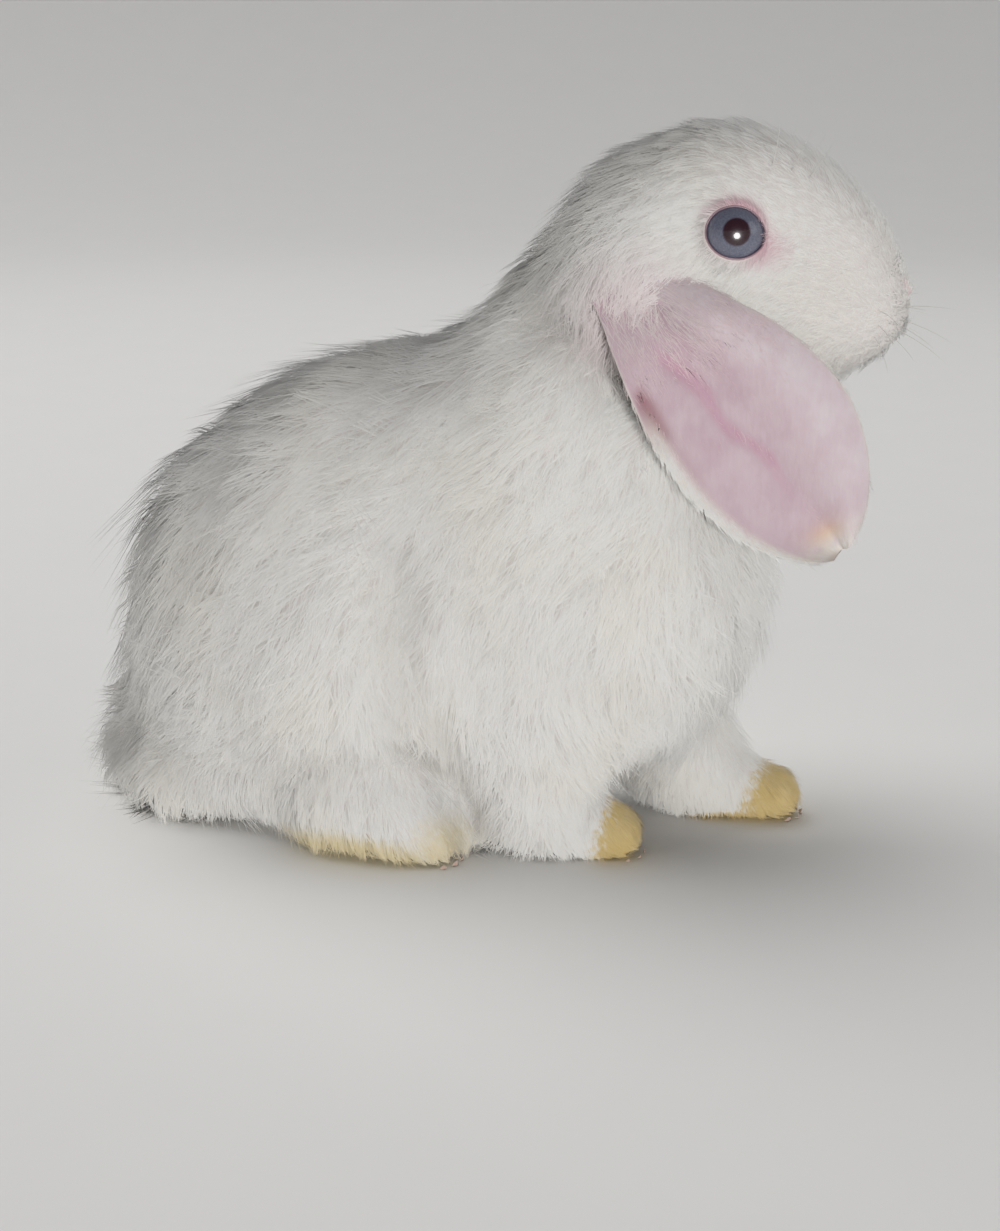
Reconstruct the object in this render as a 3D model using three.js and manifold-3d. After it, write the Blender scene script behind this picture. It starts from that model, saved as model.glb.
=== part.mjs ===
// A young lop-eared rabbit sitting up on straight forelegs, its head raised and turned a little to its
// left. Millimetres. +Z is up, -Y is the way the rabbit faces and +X is its left side, so its right side
// is at -X. Every form is the outer shape of the coat, out to the tips of the hair. The flesh is one
// blended body, meshed whole from its signed distance and then parted with thin cuts. Ears, eyes and
// claws are solids of their own.
import * as THREE from "three";
import { mergeVertices } from "three/addons/utils/BufferGeometryUtils.js";
import Module from "manifold-3d";

const wasm = await Module();
wasm.setup();

// ---- Driving sizes ----------------------------------------------------------------------------------
const CUT = 0.3; // gap between neighbouring pieces
const CELLS = { head: 4.7, feet: 5.5, body: 8 }; // mesh cells of the flesh
const FORE_SPREAD = 17.5; // wrist from the midline
const FORE_STEP = 25; // how far the left wrist stands ahead of the right one
const PAW_LENGTH = 15.5; // from the right wrist to the middle of its toes
const PAW_REACH = 2.5; // how much flatter, and so longer, the left paw lies
const PAW_TURN = 3; // how far the toes of both forepaws point to the rabbit's left
const TOE_RADIUS = 7.2;
const TOE_HEIGHT = 4.6; // middle of the toes above the floor
const HIND_SPREAD = 32; // hind foot centre from the midline
const HEAD_TURN = 16; // degrees that the head is turned to the rabbit's left
const HEAD_PIVOT = [22, 0, 112]; // where the head turns on the neck: forward, left, up
const EYE_PLACE = [27, 15.7, 21.6]; // middle of an eyeball: forward, out and up from the head's pivot
const EYE_RADIUS = 7.2;
const EAR_ROOT = [6, 14]; // middle of an ear's base: forward and up from the head's pivot
const EAR_SLOPE = -53.8; // degrees that an ear points down from straight ahead
const EAR_LENGTH = 71;
const EAR_WIDTH = 39.5;
const EAR_THICK = 3.2; // with the short coat of both faces
const CLAW_LENGTH = 6;
const CLAW_RADIUS = 1.2;
const CLAW_SHOW = 1.6; // how far a claw's tip stands out of the coat
const CLAW_HEIGHT = 3.4;
const CLAW_DROOP = 14; // degrees that a claw points down
const CLAW_FAN = [-48, -16, 16, 48]; // degrees from straight ahead

const SIDES = { right: -1, left: 1 };
const radians = THREE.MathUtils.degToRad;

// ---- Places -----------------------------------------------------------------------------------------
// A point given as forward, left and up of the origin.
const at = ([forward, left, up]) => new THREE.Vector3(left, -forward, up);

// The same for a point given in the head's own axes, from the head's pivot.
const onHead = ([forward, left, up]) => {
  const turn = radians(HEAD_TURN);
  return [
    HEAD_PIVOT[0] + forward * Math.cos(turn) - left * Math.sin(turn),
    HEAD_PIVOT[1] + forward * Math.sin(turn) + left * Math.cos(turn),
    HEAD_PIVOT[2] + up,
  ];
};

// ---- Signed distances -------------------------------------------------------------------------------
// An ellipsoid with half sizes along forward, left and up. Pitch raises its front and yaw turns it left.
function ellipsoid(centre, [halfForward, halfLeft, halfUp], { pitch = 0, yaw = 0 } = {}) {
  const middle = at(centre);
  const turned = new THREE.Euler(radians(-pitch), 0, radians(yaw), "ZYX");
  const back = new THREE.Quaternion().setFromEuler(turned).invert();
  const half = new THREE.Vector3(halfLeft, halfForward, halfUp);
  const q = new THREE.Vector3();
  return (p) => {
    const near = q.copy(p).sub(middle).applyQuaternion(back).divide(half).length();
    const slope = q.divide(half).length();
    return slope < 1e-9 ? -half.length() : (near * (near - 1)) / slope;
  };
}

// A limb that tapers from one radius to another between two points.
function limb(from, to, fromRadius, toRadius) {
  const start = at(from);
  const along = at(to).sub(start);
  const q = new THREE.Vector3();
  return (p) => {
    q.copy(p).sub(start);
    const t = THREE.MathUtils.clamp(q.dot(along) / along.lengthSq(), 0, 1);
    return q.addScaledVector(along, -t).length() - THREE.MathUtils.lerp(fromRadius, toRadius, t);
  };
}

// Smooth union: the forms melt into each other over the given distance.
const melt = (distance, ...forms) => (p) =>
  forms.slice(1).reduce((d, form) => {
    const e = form(p);
    const h = Math.max(distance - Math.abs(d - e), 0) / distance;
    return Math.min(d, e) - (h * h * distance) / 4;
  }, forms[0](p));

// A form in the head's own axes, turned with the head.
const headForm = (centre, half, pitch = 0) => ellipsoid(onHead(centre), half, { pitch, yaw: HEAD_TURN });

// ---- The body's forms -------------------------------------------------------------------------------
const trunk = melt(
  16,
  ellipsoid([-45.5, 0, 48], [42.5, 41, 48.5], { pitch: -10 }), // rump
  ellipsoid([-18, 0, 62.5], [44, 37, 46], { pitch: -1 }), // loins and back
  ellipsoid([16, 0, 66], [35, 32, 42]), // ribs and shoulders
  ellipsoid([33, 0, 60], [27, 27, 33]), // chest
  ellipsoid([8, 0, 32], [34, 25, 18]), // belly
);
const seat = ellipsoid([-66, 0, 9], [31.5, 38, 15]); // the coat of the rump, spread where it sits
const neck = melt(
  10,
  limb([12, 0, 91], onHead([13, 0, 15.5]), 26.5, 22),
  limb([26, 0, 84], onHead([24, 0, 0]), 22, 18),
);
const head = melt(
  8,
  headForm([28.5, 0, 17], [26, 18.6, 25.5]), // skull
  headForm([25.5, 0, 26.5], [18, 15.8, 14.3]), // crown
  headForm([45.5, 0, 15.5], [16, 13.6, 16]), // brow and bridge of the nose
  headForm([52.6, 0, 7], [12.8, 11.5, 11.5]), // muzzle
  headForm([52.5, -6, 3.3], [9.3, 7.5, 7]), // right whisker pad
  headForm([52.5, 6, 3.3], [9.3, 7.5, 7]), // left whisker pad
  headForm([44, 0, -2], [11, 10, 7.7]), // chin
  headForm([33, -9.5, 3], [18, 12.5, 14]), // right cheek
  headForm([33, 9.5, 3], [18, 12.5, 14]), // left cheek
  headForm([7, -13.5, 13], [9, 8, 10]), // root of the right ear
  headForm([7, 13.5, 13], [9, 8, 10]), // root of the left ear
);
const tail = limb([-76, 0, 33], [-88, -3, 14], 15, 10);

// The haunch, and the long hind foot under it.
const haunch = (side) => ellipsoid([-31, side * 27, 37], [33, 17, 30], { pitch: 14, yaw: side * 6 });
const hindToe = (side) => [-3.5, side * HIND_SPREAD, TOE_HEIGHT];
const hindFoot = (side) =>
  melt(
    4,
    limb([-38, side * (HIND_SPREAD - 5), 8], [-28, side * HIND_SPREAD, 11], 7.8, 11),
    limb([-28, side * HIND_SPREAD, 11], [-14, side * HIND_SPREAD, 11.6], 11, 11.2),
    limb([-13, side * HIND_SPREAD, 9], hindToe(side), 10, TOE_RADIUS),
  );

// The foreleg from the elbow to the wrist with the long hair behind it, and the paw ahead of it.
const step = (side) => (side === SIDES.left ? FORE_STEP : 0);
const wrist = (side) => [17 + step(side), side * FORE_SPREAD, 11];
const foreToe = (side) => [
  17 + step(side) + PAW_LENGTH + (side === SIDES.left ? PAW_REACH : 0),
  side * FORE_SPREAD + PAW_TURN,
  TOE_HEIGHT,
];
const foreLeg = (side) =>
  melt(
    7,
    limb([12 + step(side) * 0.2, side * 17, 50], wrist(side), 17, 11.5),
    limb([4 + step(side) * 0.6, side * 17, 30], [9 + step(side), side * FORE_SPREAD, 9], 13, 10.5),
  );
const forePaw = (side) => limb([18 + step(side), side * FORE_SPREAD, 6.5], foreToe(side), 9.5, TOE_RADIUS);

const flesh = melt(
  5,
  melt(12, trunk, seat, tail, neck, haunch(SIDES.right), haunch(SIDES.left), head),
  hindFoot(SIDES.right),
  hindFoot(SIDES.left),
  melt(5, foreLeg(SIDES.right), forePaw(SIDES.right)),
  melt(5, foreLeg(SIDES.left), forePaw(SIDES.left)),
);

// ---- Meshing ----------------------------------------------------------------------------------------
// The slope of a signed distance at a point.
function slopeAt(distance, point) {
  const small = 0.05;
  const here = distance(point);
  const ahead = new THREE.Vector3();
  const along = (axis) => {
    ahead.copy(point)[axis] += small;
    return (distance(ahead) - here) / small;
  };
  return new THREE.Vector3(along("x"), along("y"), along("z"));
}

// Moves a point down the slope onto the surface, by no more than the reach at a time.
function settle(point, distance, reach) {
  for (let round = 0; round < 4; round++) {
    const slope = slopeAt(distance, point);
    const needed = -distance(point) / Math.max(slope.lengthSq(), 0.3);
    point.addScaledVector(slope, THREE.MathUtils.clamp(needed, -reach, reach));
  }
  return point;
}

// Draws each point toward the middle of its neighbours and back onto the surface.
function evenOut(points, quads, distance, reach) {
  const near = points.map(() => new Set());
  quads.forEach((q) => q.forEach((v, n) => near[v].add(q[(n + 1) % 4]).add(q[(n + 3) % 4])));
  for (let round = 0; round < 3; round++) {
    const middles = near.map((ring) =>
      [...ring].reduce((sum, v) => sum.add(points[v]), new THREE.Vector3()).divideScalar(ring.size),
    );
    points.forEach((p, n) => settle(p.lerp(middles[n], 0.5), distance, reach));
  }
}

// Splits a quad along its shorter diagonal.
const splitQuad = ([a, b, c, d], points) =>
  points[a].distanceToSquared(points[c]) < points[b].distanceToSquared(points[d])
    ? [a, b, c, a, c, d]
    : [b, c, d, b, d, a];

// The surface of a signed distance: one vertex in each cell that the surface crosses, and one quad across
// each grid edge that it cuts, with the vertices evened out along the surface.
function meshed(distance, cell, low, high) {
  const [nx, ny, nz] = high.clone().sub(low).divideScalar(cell).ceil().toArray();
  const index = (i, j, k) => i + nx * (j + ny * k);
  const place = (i, j, k) => new THREE.Vector3(i, j, k).multiplyScalar(cell).add(low);
  const each = (first, visit) => {
    for (let k = first; k < nz - 1; k++)
      for (let j = first; j < ny - 1; j++) for (let i = first; i < nx - 1; i++) visit(i, j, k);
  };
  const filled = new Set();
  each(0, (i, j, k) => distance(place(i, j, k)) < 0 && filled.add(index(i, j, k)));
  const inside = (i, j, k) => filled.has(index(i, j, k));

  const corners = [0, 1, 2, 3, 4, 5, 6, 7].map((n) => [n & 1, (n >> 1) & 1, n >> 2]);
  const vertexOf = new Map();
  const points = [];
  each(0, (i, j, k) => {
    const full = corners.filter((c) => inside(i + c[0], j + c[1], k + c[2])).length;
    if (full === 0 || full === 8) return;
    vertexOf.set(index(i, j, k), points.length);
    points.push(settle(place(i + 0.5, j + 0.5, k + 0.5), distance, cell / 2));
  });

  const axes = [
    [1, 0, 0],
    [0, 1, 0],
    [0, 0, 1],
  ];
  const quads = [];
  each(1, (i, j, k) => {
    axes.forEach((along, axis) => {
      const here = inside(i, j, k);
      if (here === inside(i + along[0], j + along[1], k + along[2])) return;
      const u = axes[(axis + 1) % 3];
      const v = axes[(axis + 2) % 3];
      const cellAt = (a, b) =>
        vertexOf.get(index(i - a * u[0] - b * v[0], j - a * u[1] - b * v[1], k - a * u[2] - b * v[2]));
      const quad = [cellAt(0, 0), cellAt(1, 0), cellAt(1, 1), cellAt(0, 1)];
      quads.push(here ? quad : quad.reverse());
    });
  });
  evenOut(points, quads, distance, cell / 2);
  const triangles = quads.flatMap((quad) => splitQuad(quad, points));
  return new THREE.BufferGeometry().setFromPoints(points).setIndex(triangles);
}

// The same mesh with each vertex moved out along the slope.
function grown(geometry, distance, by) {
  const position = geometry.getAttribute("position");
  const points = Array.from({ length: position.count }, (_, n) => {
    const point = new THREE.Vector3().fromBufferAttribute(position, n);
    return point.addScaledVector(slopeAt(distance, point).normalize(), by);
  });
  return new THREE.BufferGeometry().setFromPoints(points).setIndex(geometry.getIndex());
}

// ---- Solids -----------------------------------------------------------------------------------------
function solid(geometry) {
  const bare = new THREE.BufferGeometry();
  bare.setAttribute("position", geometry.getAttribute("position"));
  bare.setIndex(geometry.getIndex());
  const merged = mergeVertices(bare, 1e-4);
  const vertProperties = merged.attributes.position.array;
  const triVerts = new Uint32Array(merged.index.array);
  return new wasm.Manifold(new wasm.Mesh({ numProp: 3, vertProperties, triVerts }));
}

// The largest of the bodies that a cut leaves.
const largest = (made) => made.decompose().reduce((a, b) => (a.volume() > b.volume() ? a : b));

// A closed geometry stretched along forward, left and up, and placed.
function stretched(made, centre, [alongForward, alongLeft, alongUp]) {
  made.scale(alongLeft, alongForward, alongUp);
  made.translate(...at(centre).toArray());
  return solid(made);
}

// Parts a solid with an ellipsoid: what is inside it, and what is outside it by more than the cut's gap.
const partBall = (made, centre, half) => {
  const ball = (grow) => stretched(new THREE.IcosahedronGeometry(1, 1), centre, half.map((h) => h + grow));
  return [largest(made.intersect(ball(0))), largest(made.subtract(ball(CUT)))];
};

// The same with a box whose sizes are along forward, left and up.
const partBox = (made, centre, size) => {
  const box = (grow) => stretched(new THREE.BoxGeometry(1, 1, 1), centre, size.map((s) => s + 2 * grow));
  return [largest(made.intersect(box(0))), largest(made.subtract(box(CUT)))];
};

// Parts a solid with a plane through a point: what is on the normal's side, and the rest.
const partPlane = (made, point, direction) => {
  const normal = at(direction).normalize();
  const offset = at(point).dot(normal);
  return [
    largest(made.trimByPlane(normal.toArray(), offset + CUT / 2)),
    largest(made.trimByPlane(normal.clone().negate().toArray(), -(offset - CUT / 2))),
  ];
};

// ---- Ears -------------------------------------------------------------------------------------------
// An ear is a cupped leaf that hangs from behind the eye, forward and down past the cheek, with its bare
// inner face turned out to the side. Along runs from the base, 0, to the tip, 1. Across runs from the rear
// edge, -1, to the front edge, 1.
const earHalfWidth = (along) => (EAR_WIDTH / 2) * Math.sin(Math.PI * (0.07 + 0.93 * along ** 1.35)) ** 0.6;
const earBow = (along) => 5.4 * Math.sin((Math.PI / 2) * Math.min(1, along * 1.4)) - 1;
const earHang = (along) => 25 + 3 * Math.sin((Math.PI / 2) * Math.min(1, along * 1.8));
const earCup = (across) => (across < 0 ? 4.5 * across ** 2 : 2.2 * Math.sin(Math.PI * across)) - 1.5;
function earPoint(side, along, across, face) {
  const slope = radians(EAR_SLOPE);
  const ahead = earBow(along) + across * earHalfWidth(along);
  const rim = Math.sqrt(Math.max(0, 1 - across ** 2)) * Math.min(1, 6 * (1.02 - along));
  const down = EAR_LENGTH * along;
  return at(
    onHead([
      EAR_ROOT[0] + down * Math.cos(slope) - ahead * Math.sin(slope),
      side * (earHang(along) + earCup(across) + face * (EAR_THICK / 2) * rim),
      EAR_ROOT[1] + down * Math.sin(slope) + ahead * Math.cos(slope),
    ]),
  );
}

// A closed leaf with two faces that share their rim, from a point for each along, across and face.
function leaf(pointOf, rows, columns) {
  const ring = 2 * columns;
  const points = [];
  for (let r = 0; r <= rows; r++)
    for (let c = 0; c < ring; c++) {
      const along = 1 - (1 - (r + 0.3) / (rows + 0.5)) ** 1.3; // rows crowd toward the tip
      points.push(pointOf(along, -Math.cos((Math.PI * c) / columns), c <= columns ? 1 : -1));
    }
  const base = points.push(pointOf(0, 0, 0)) - 1;
  const tip = points.push(pointOf(1, 0, 0)) - 1;
  const triangles = [];
  for (let c = 0; c < ring; c++) {
    const next = (c + 1) % ring;
    triangles.push(base, next, c, tip, rows * ring + c, rows * ring + next);
    for (let r = 0; r < rows; r++) {
      const a = r * ring + c;
      const b = r * ring + next;
      triangles.push(a, b, a + ring, b, b + ring, a + ring);
    }
  }
  return new THREE.BufferGeometry().setFromPoints(points).setIndex(triangles);
}

// ---- Claws ------------------------------------------------------------------------------------------
// The claws of one foot fan out from the middle of its toes, and only their tips come through the coat.
function claws(toe, name) {
  const [forward, left] = toe;
  return CLAW_FAN.map((degrees, n) => {
    const cone = new THREE.ConeGeometry(CLAW_RADIUS, CLAW_LENGTH, 6);
    cone.rotateX(Math.PI / 2 + radians(CLAW_DROOP));
    cone.translate(0, -TOE_RADIUS - CLAW_SHOW + CLAW_LENGTH / 2, 0);
    cone.rotateZ(radians(degrees));
    cone.translate(...at([forward, left, CLAW_HEIGHT]).toArray());
    return [`claw_${name}_${n + 1}`, solid(cone)];
  });
}

// ---- The rabbit -------------------------------------------------------------------------------------
// The whole flesh is meshed at each cell size. A part is cut out of all of them, and kept from the mesh of
// its own size.
const room = [new THREE.Vector3(-66, -112, -24), new THREE.Vector3(66, 120, 182)];
const meshes = Object.values(CELLS).map((cell) => meshed(flesh, cell, ...room));
const stock = Object.keys(CELLS).map((key, n) => [key, solid(meshes[n]).trimByPlane([0, 0, 1], 0)]);
const pieces = {};
function part(name, size, cut, ...place) {
  for (const entry of stock) {
    const [inside, outside] = cut(entry[1], ...place);
    if (entry[0] === size) pieces[name] = inside;
    entry[1] = outside;
  }
}

part("head", "head", partPlane, [36.5, 0, 119], [0.66, 0, 0.75]);
part("neck", "body", partPlane, [25, 0, 95], [0.46, 0, 0.89]);
part("tail", "body", partBall, [-92, -3, 12], [19, 18, 22]);
for (const [name, side] of Object.entries(SIDES)) {
  const forward = step(side);
  part(`hind_foot_${name}`, "feet", partBox, [-23.5, side * 43, 5], [59, 46, 31]);
  part(`haunch_${name}`, "body", partBall, [-33, side * 46, 40], [39, 31, 39]);
  part(`forepaw_${name}`, "feet", partBox, [39 + forward, side * 18, 5], [36, 31, 24]);
  const elbow = [16 + forward * 0.8, side * 25, 21];
  part(`foreleg_${name}`, "feet", partBall, elbow, [24 + forward * 0.2, 24, 36]);
}
pieces.trunk = stock.find(([key]) => key === "body")[1];

// The ears and claws keep clear of the flesh by the cut's gap.
const clear = meshes.map((mesh) => solid(grown(mesh, flesh, CUT))).reduce((a, b) => a.add(b));
for (const [name, side] of Object.entries(SIDES)) {
  const eye = onHead([EYE_PLACE[0], side * EYE_PLACE[1], EYE_PLACE[2]]);
  const ball = new THREE.IcosahedronGeometry(1, 2);
  const eyeball = (radius) => stretched(ball.clone(), eye, [radius, radius, radius]);
  pieces[`eye_${name}`] = eyeball(EYE_RADIUS);
  pieces.head = pieces.head.subtract(eyeball(EYE_RADIUS + CUT));
  const ear = leaf((along, across, face) => earPoint(side, along, across, side * face), 10, 6);
  pieces[`ear_${name}`] = largest(solid(ear).subtract(clear));
  const grownClaws = [...claws(foreToe(side), `fore_${name}`), ...claws(hindToe(side), `hind_${name}`)];
  for (const [claw, cone] of grownClaws) pieces[claw] = largest(cone.subtract(clear));
}

// ---- Colours ----------------------------------------------------------------------------------------
const coat = new THREE.MeshStandardMaterial({ color: 0xe9e6df, roughness: 0.9, metalness: 0 });
const stainedCoat = new THREE.MeshStandardMaterial({ color: 0xe2cf9a, roughness: 0.9, metalness: 0 });
const bareSkin = new THREE.MeshStandardMaterial({ color: 0xdcb9c0, roughness: 0.6, metalness: 0 });
const iris = new THREE.MeshStandardMaterial({ color: 0x646a80, roughness: 0.05, metalness: 0 });
const horn = new THREE.MeshStandardMaterial({ color: 0xcbb8a0, roughness: 0.4, metalness: 0 });
const finish = (name) => {
  if (name.startsWith("eye")) return iris;
  if (name.startsWith("ear")) return bareSkin;
  if (name.startsWith("claw")) return horn;
  return name.includes("paw") || name.includes("foot") ? stainedCoat : coat;
};

const rabbit = new THREE.Group();
for (const [name, made] of Object.entries(pieces)) {
  const { vertProperties, triVerts } = made.getMesh();
  const geometry = new THREE.BufferGeometry();
  geometry.setAttribute("position", new THREE.BufferAttribute(vertProperties, 3));
  geometry.setIndex(new THREE.BufferAttribute(triVerts, 1));
  const mesh = new THREE.Mesh(geometry, finish(name));
  mesh.name = name;
  rabbit.add(mesh);
}

// The origin is the middle of the ground that it covers.
const middle = new THREE.Box3().setFromObject(rabbit).getCenter(new THREE.Vector3());
rabbit.position.set(-middle.x, -middle.y, 0);

export default rabbit;
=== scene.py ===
"""A still, life-size model of a young lop rabbit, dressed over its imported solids.

The rabbit sits up on straight forelegs with its head raised. It faces -Y, +X is its left side and +Z is up, in
metres. One skin stands for all the flesh and lies inside the solids by the depth of the coat. The coat is made of
thin closed tufts that grow out of the skin along the lie of the hair.
"""

from __future__ import annotations

import logging
import math
from dataclasses import dataclass, field
from enum import Enum

import bmesh
import bpy
import numpy as np
from mathutils import Matrix, Vector
from mathutils.bvhtree import BVHTree
from mathutils.kdtree import KDTree

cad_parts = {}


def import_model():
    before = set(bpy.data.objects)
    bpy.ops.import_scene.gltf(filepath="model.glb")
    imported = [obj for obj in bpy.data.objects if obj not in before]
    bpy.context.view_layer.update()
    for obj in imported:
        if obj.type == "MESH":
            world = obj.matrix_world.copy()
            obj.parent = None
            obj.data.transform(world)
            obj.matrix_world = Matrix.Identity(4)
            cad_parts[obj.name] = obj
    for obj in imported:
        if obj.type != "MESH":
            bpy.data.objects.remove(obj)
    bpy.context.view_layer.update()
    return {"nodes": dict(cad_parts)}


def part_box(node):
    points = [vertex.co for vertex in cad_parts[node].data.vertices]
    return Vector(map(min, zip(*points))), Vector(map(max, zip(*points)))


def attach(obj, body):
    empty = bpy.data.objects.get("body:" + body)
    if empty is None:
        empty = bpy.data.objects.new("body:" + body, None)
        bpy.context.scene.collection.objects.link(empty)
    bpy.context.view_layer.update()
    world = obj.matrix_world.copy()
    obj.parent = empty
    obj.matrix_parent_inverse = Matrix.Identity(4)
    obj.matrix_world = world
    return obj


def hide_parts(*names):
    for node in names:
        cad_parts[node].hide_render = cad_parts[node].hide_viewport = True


LOG = logging.getLogger("rabbit")
MM = 0.001
SEED = 20
PATCH = 0.003  # side of a tuft's patch on the skin's unwrap
COAT_MAP = "OFBake"
Row = tuple[float, float, float]


class Side(Enum):
    """The two sides of the body, each with the sign of its X."""

    RIGHT = -1
    LEFT = 1

    @property
    def label(self) -> str:
        """The side's word in a piece's name."""
        return self.name.lower()


class Slot(Enum):
    """The names of the material slots."""

    COAT = "coat"
    STAINED = "stained_coat"
    EAR = "ear"
    EYE = "eye"
    CLAW = "claw"


class Region(Enum):
    """The parts that the coat is divided into, so that no piece is too large."""

    HEAD = 0
    NECK = 1
    CHEST = 2
    BACK = 3
    RUMP = 4
    FLANK = 5
    LEGS = 6
    EAR_BACKS = 7
    EAR_FACES = 8


# ---- Small helpers on points ------------------------------------------------------------------------------
def spot(ahead: float, left: float, up: float) -> Vector:
    """A point of the body in metres, from millimetres ahead, left and up of the middle of its base."""
    return Vector((left, -ahead, up)) * MM


def unit(vectors: np.ndarray) -> np.ndarray:
    """The vectors at length one."""
    return vectors / np.maximum(np.linalg.norm(vectors, axis=-1, keepdims=True), 1e-12)


def dots(a: np.ndarray, b: np.ndarray) -> np.ndarray:
    """The dot product of each row of a and b, as a column."""
    return np.sum(a * b, axis=-1, keepdims=True)


def ease(low: float, high: float, value: np.ndarray) -> np.ndarray:
    """A smooth step from 0 at low to 1 at high."""
    t = np.clip((value - low) / (high - low), 0, 1)
    return t * t * (3 - 2 * t)


def flattened(ways: np.ndarray, normals: np.ndarray) -> np.ndarray:
    """The ways laid along the surface that the normals stand on."""
    return unit(ways - normals * dots(ways, normals))


def points_of(mesh: bpy.types.Mesh) -> np.ndarray:
    """The places of a mesh's vertices, one row each."""
    flat = np.empty(len(mesh.vertices) * 3, np.float32)
    mesh.vertices.foreach_get("co", flat)
    return flat.reshape(-1, 3).astype(float)


def normals_of(mesh: bpy.types.Mesh) -> np.ndarray:
    """The normals of a mesh's vertices, one row each."""
    flat = np.empty(len(mesh.vertices) * 3, np.float32)
    mesh.vertex_normals.foreach_get("vector", flat)
    return flat.reshape(-1, 3).astype(float)


def put_points(mesh: bpy.types.Mesh, points: np.ndarray) -> None:
    """Moves a mesh's vertices to the points."""
    mesh.vertices.foreach_set("co", points.astype(np.float32).ravel())
    mesh.update()


def put_values(mesh: bpy.types.Mesh, name: str, values: np.ndarray) -> None:
    """Stores one number for each vertex as a named attribute."""
    layer = mesh.attributes.new(name, "FLOAT", "POINT")
    layer.data.foreach_set("value", values.astype(np.float32))


def joined(name: str, points: np.ndarray, faces: np.ndarray) -> bpy.types.Mesh:
    """One smooth mesh of many small things.

    Args:
        name: The mesh's name.
        points: All their points, one row each.
        faces: All their triangles, as rows of point numbers.

    Returns:
        The mesh.
    """
    mesh = bpy.data.meshes.new(name)
    mesh.vertices.add(len(points))
    mesh.loops.add(faces.size)
    mesh.polygons.add(len(faces))
    mesh.vertices.foreach_set("co", points.astype(np.float32).ravel())
    mesh.polygons.foreach_set("loop_start", np.arange(0, faces.size, 3, dtype=np.int32))
    mesh.loops.foreach_set("vertex_index", faces.astype(np.int32).ravel())
    mesh.update(calc_edges=True)
    mesh.polygons.foreach_set("use_smooth", np.ones(len(faces), bool))
    return mesh


def shown(mesh: bpy.types.Mesh, name: str, materials: list[bpy.types.Material]) -> bpy.types.Object:
    """Makes an object of the mesh, in the scene, with its materials.

    Args:
        mesh: The finished mesh.
        name: The piece's name.
        materials: The materials of its slots, in order.

    Returns:
        The object, at the origin.
    """
    mesh.name = name
    piece = bpy.data.objects.new(name, mesh)
    bpy.context.scene.collection.objects.link(piece)
    for material in materials:
        mesh.materials.append(material)
    return piece


def applied(piece: bpy.types.Object) -> bpy.types.Mesh:
    """The object's mesh with its modifiers applied; the object itself is removed."""
    graph = bpy.context.evaluated_depsgraph_get()
    mesh = bpy.data.meshes.new_from_object(piece.evaluated_get(graph), depsgraph=graph)
    spent = piece.data
    bpy.data.objects.remove(piece)
    bpy.data.meshes.remove(spent)
    return mesh


class Ripple:
    """Smooth chance that drifts over space, the same each run."""

    def __init__(self, size: float, seed: int, waves: int = 14, outputs: int = 1) -> None:
        """Draws the waves.

        Args:
            size: The distance over which it changes, in metres.
            seed: The draw's seed.
            waves: How many waves are added up.
            outputs: How many numbers it gives at each point.
        """
        draw = np.random.default_rng(seed)
        self.crests = draw.normal(0, 1 / size, (outputs, 3, waves))
        self.shifts = draw.uniform(0, 2 * math.pi, (outputs, waves))

    def read(self, points: np.ndarray) -> np.ndarray:
        """Its values at the points, about -1 to 1, with one column for each output."""
        columns = [np.sin(points @ c + f).mean(1) for c, f in zip(self.crests, self.shifts)]
        return np.stack(columns, axis=1) * 2.5


# ---- Shader maths -----------------------------------------------------------------------------------------
class Signal:
    """A shader's value, so that maths on values reads as Python."""

    def __init__(self, bench: Bench, socket: bpy.types.NodeSocket) -> None:
        """Wraps one output socket of the bench's material."""
        self.bench = bench
        self.socket = socket

    def maths(self, operation: str, *values: Signal | float, clamp: bool = False) -> Signal:
        """A Math node on the values."""
        settings = {"operation": operation, "use_clamp": clamp}
        return self.bench.node("ShaderNodeMath", settings, dict(enumerate(values)))

    def __add__(self, other: Signal | float) -> Signal:
        """The sum."""
        return self.maths("ADD", self, other)

    def __radd__(self, other: float) -> Signal:
        """The sum, reflected."""
        return self.maths("ADD", other, self)

    def __sub__(self, other: Signal | float) -> Signal:
        """The difference."""
        return self.maths("SUBTRACT", self, other)

    def __rsub__(self, other: float) -> Signal:
        """The difference, reflected."""
        return self.maths("SUBTRACT", other, self)

    def __mul__(self, other: Signal | float) -> Signal:
        """The product."""
        return self.maths("MULTIPLY", self, other)

    def __rmul__(self, other: float) -> Signal:
        """The product, reflected."""
        return self.maths("MULTIPLY", other, self)

    def __truediv__(self, other: Signal | float) -> Signal:
        """The quotient."""
        return self.maths("DIVIDE", self, other)

    def __pow__(self, other: Signal | float) -> Signal:
        """The power."""
        return self.maths("POWER", self, other)

    def most(self, other: Signal | float) -> Signal:
        """The larger of the two."""
        return self.maths("MAXIMUM", self, other)

    def step(self, low: float, high: float) -> Signal:
        """A smooth step from 0 at low to 1 at high."""
        settings = {"interpolation_type": "SMOOTHSTEP"}
        inputs = {"Value": self, "From Min": low, "From Max": high}
        return self.bench.node("ShaderNodeMapRange", settings, inputs)


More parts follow.
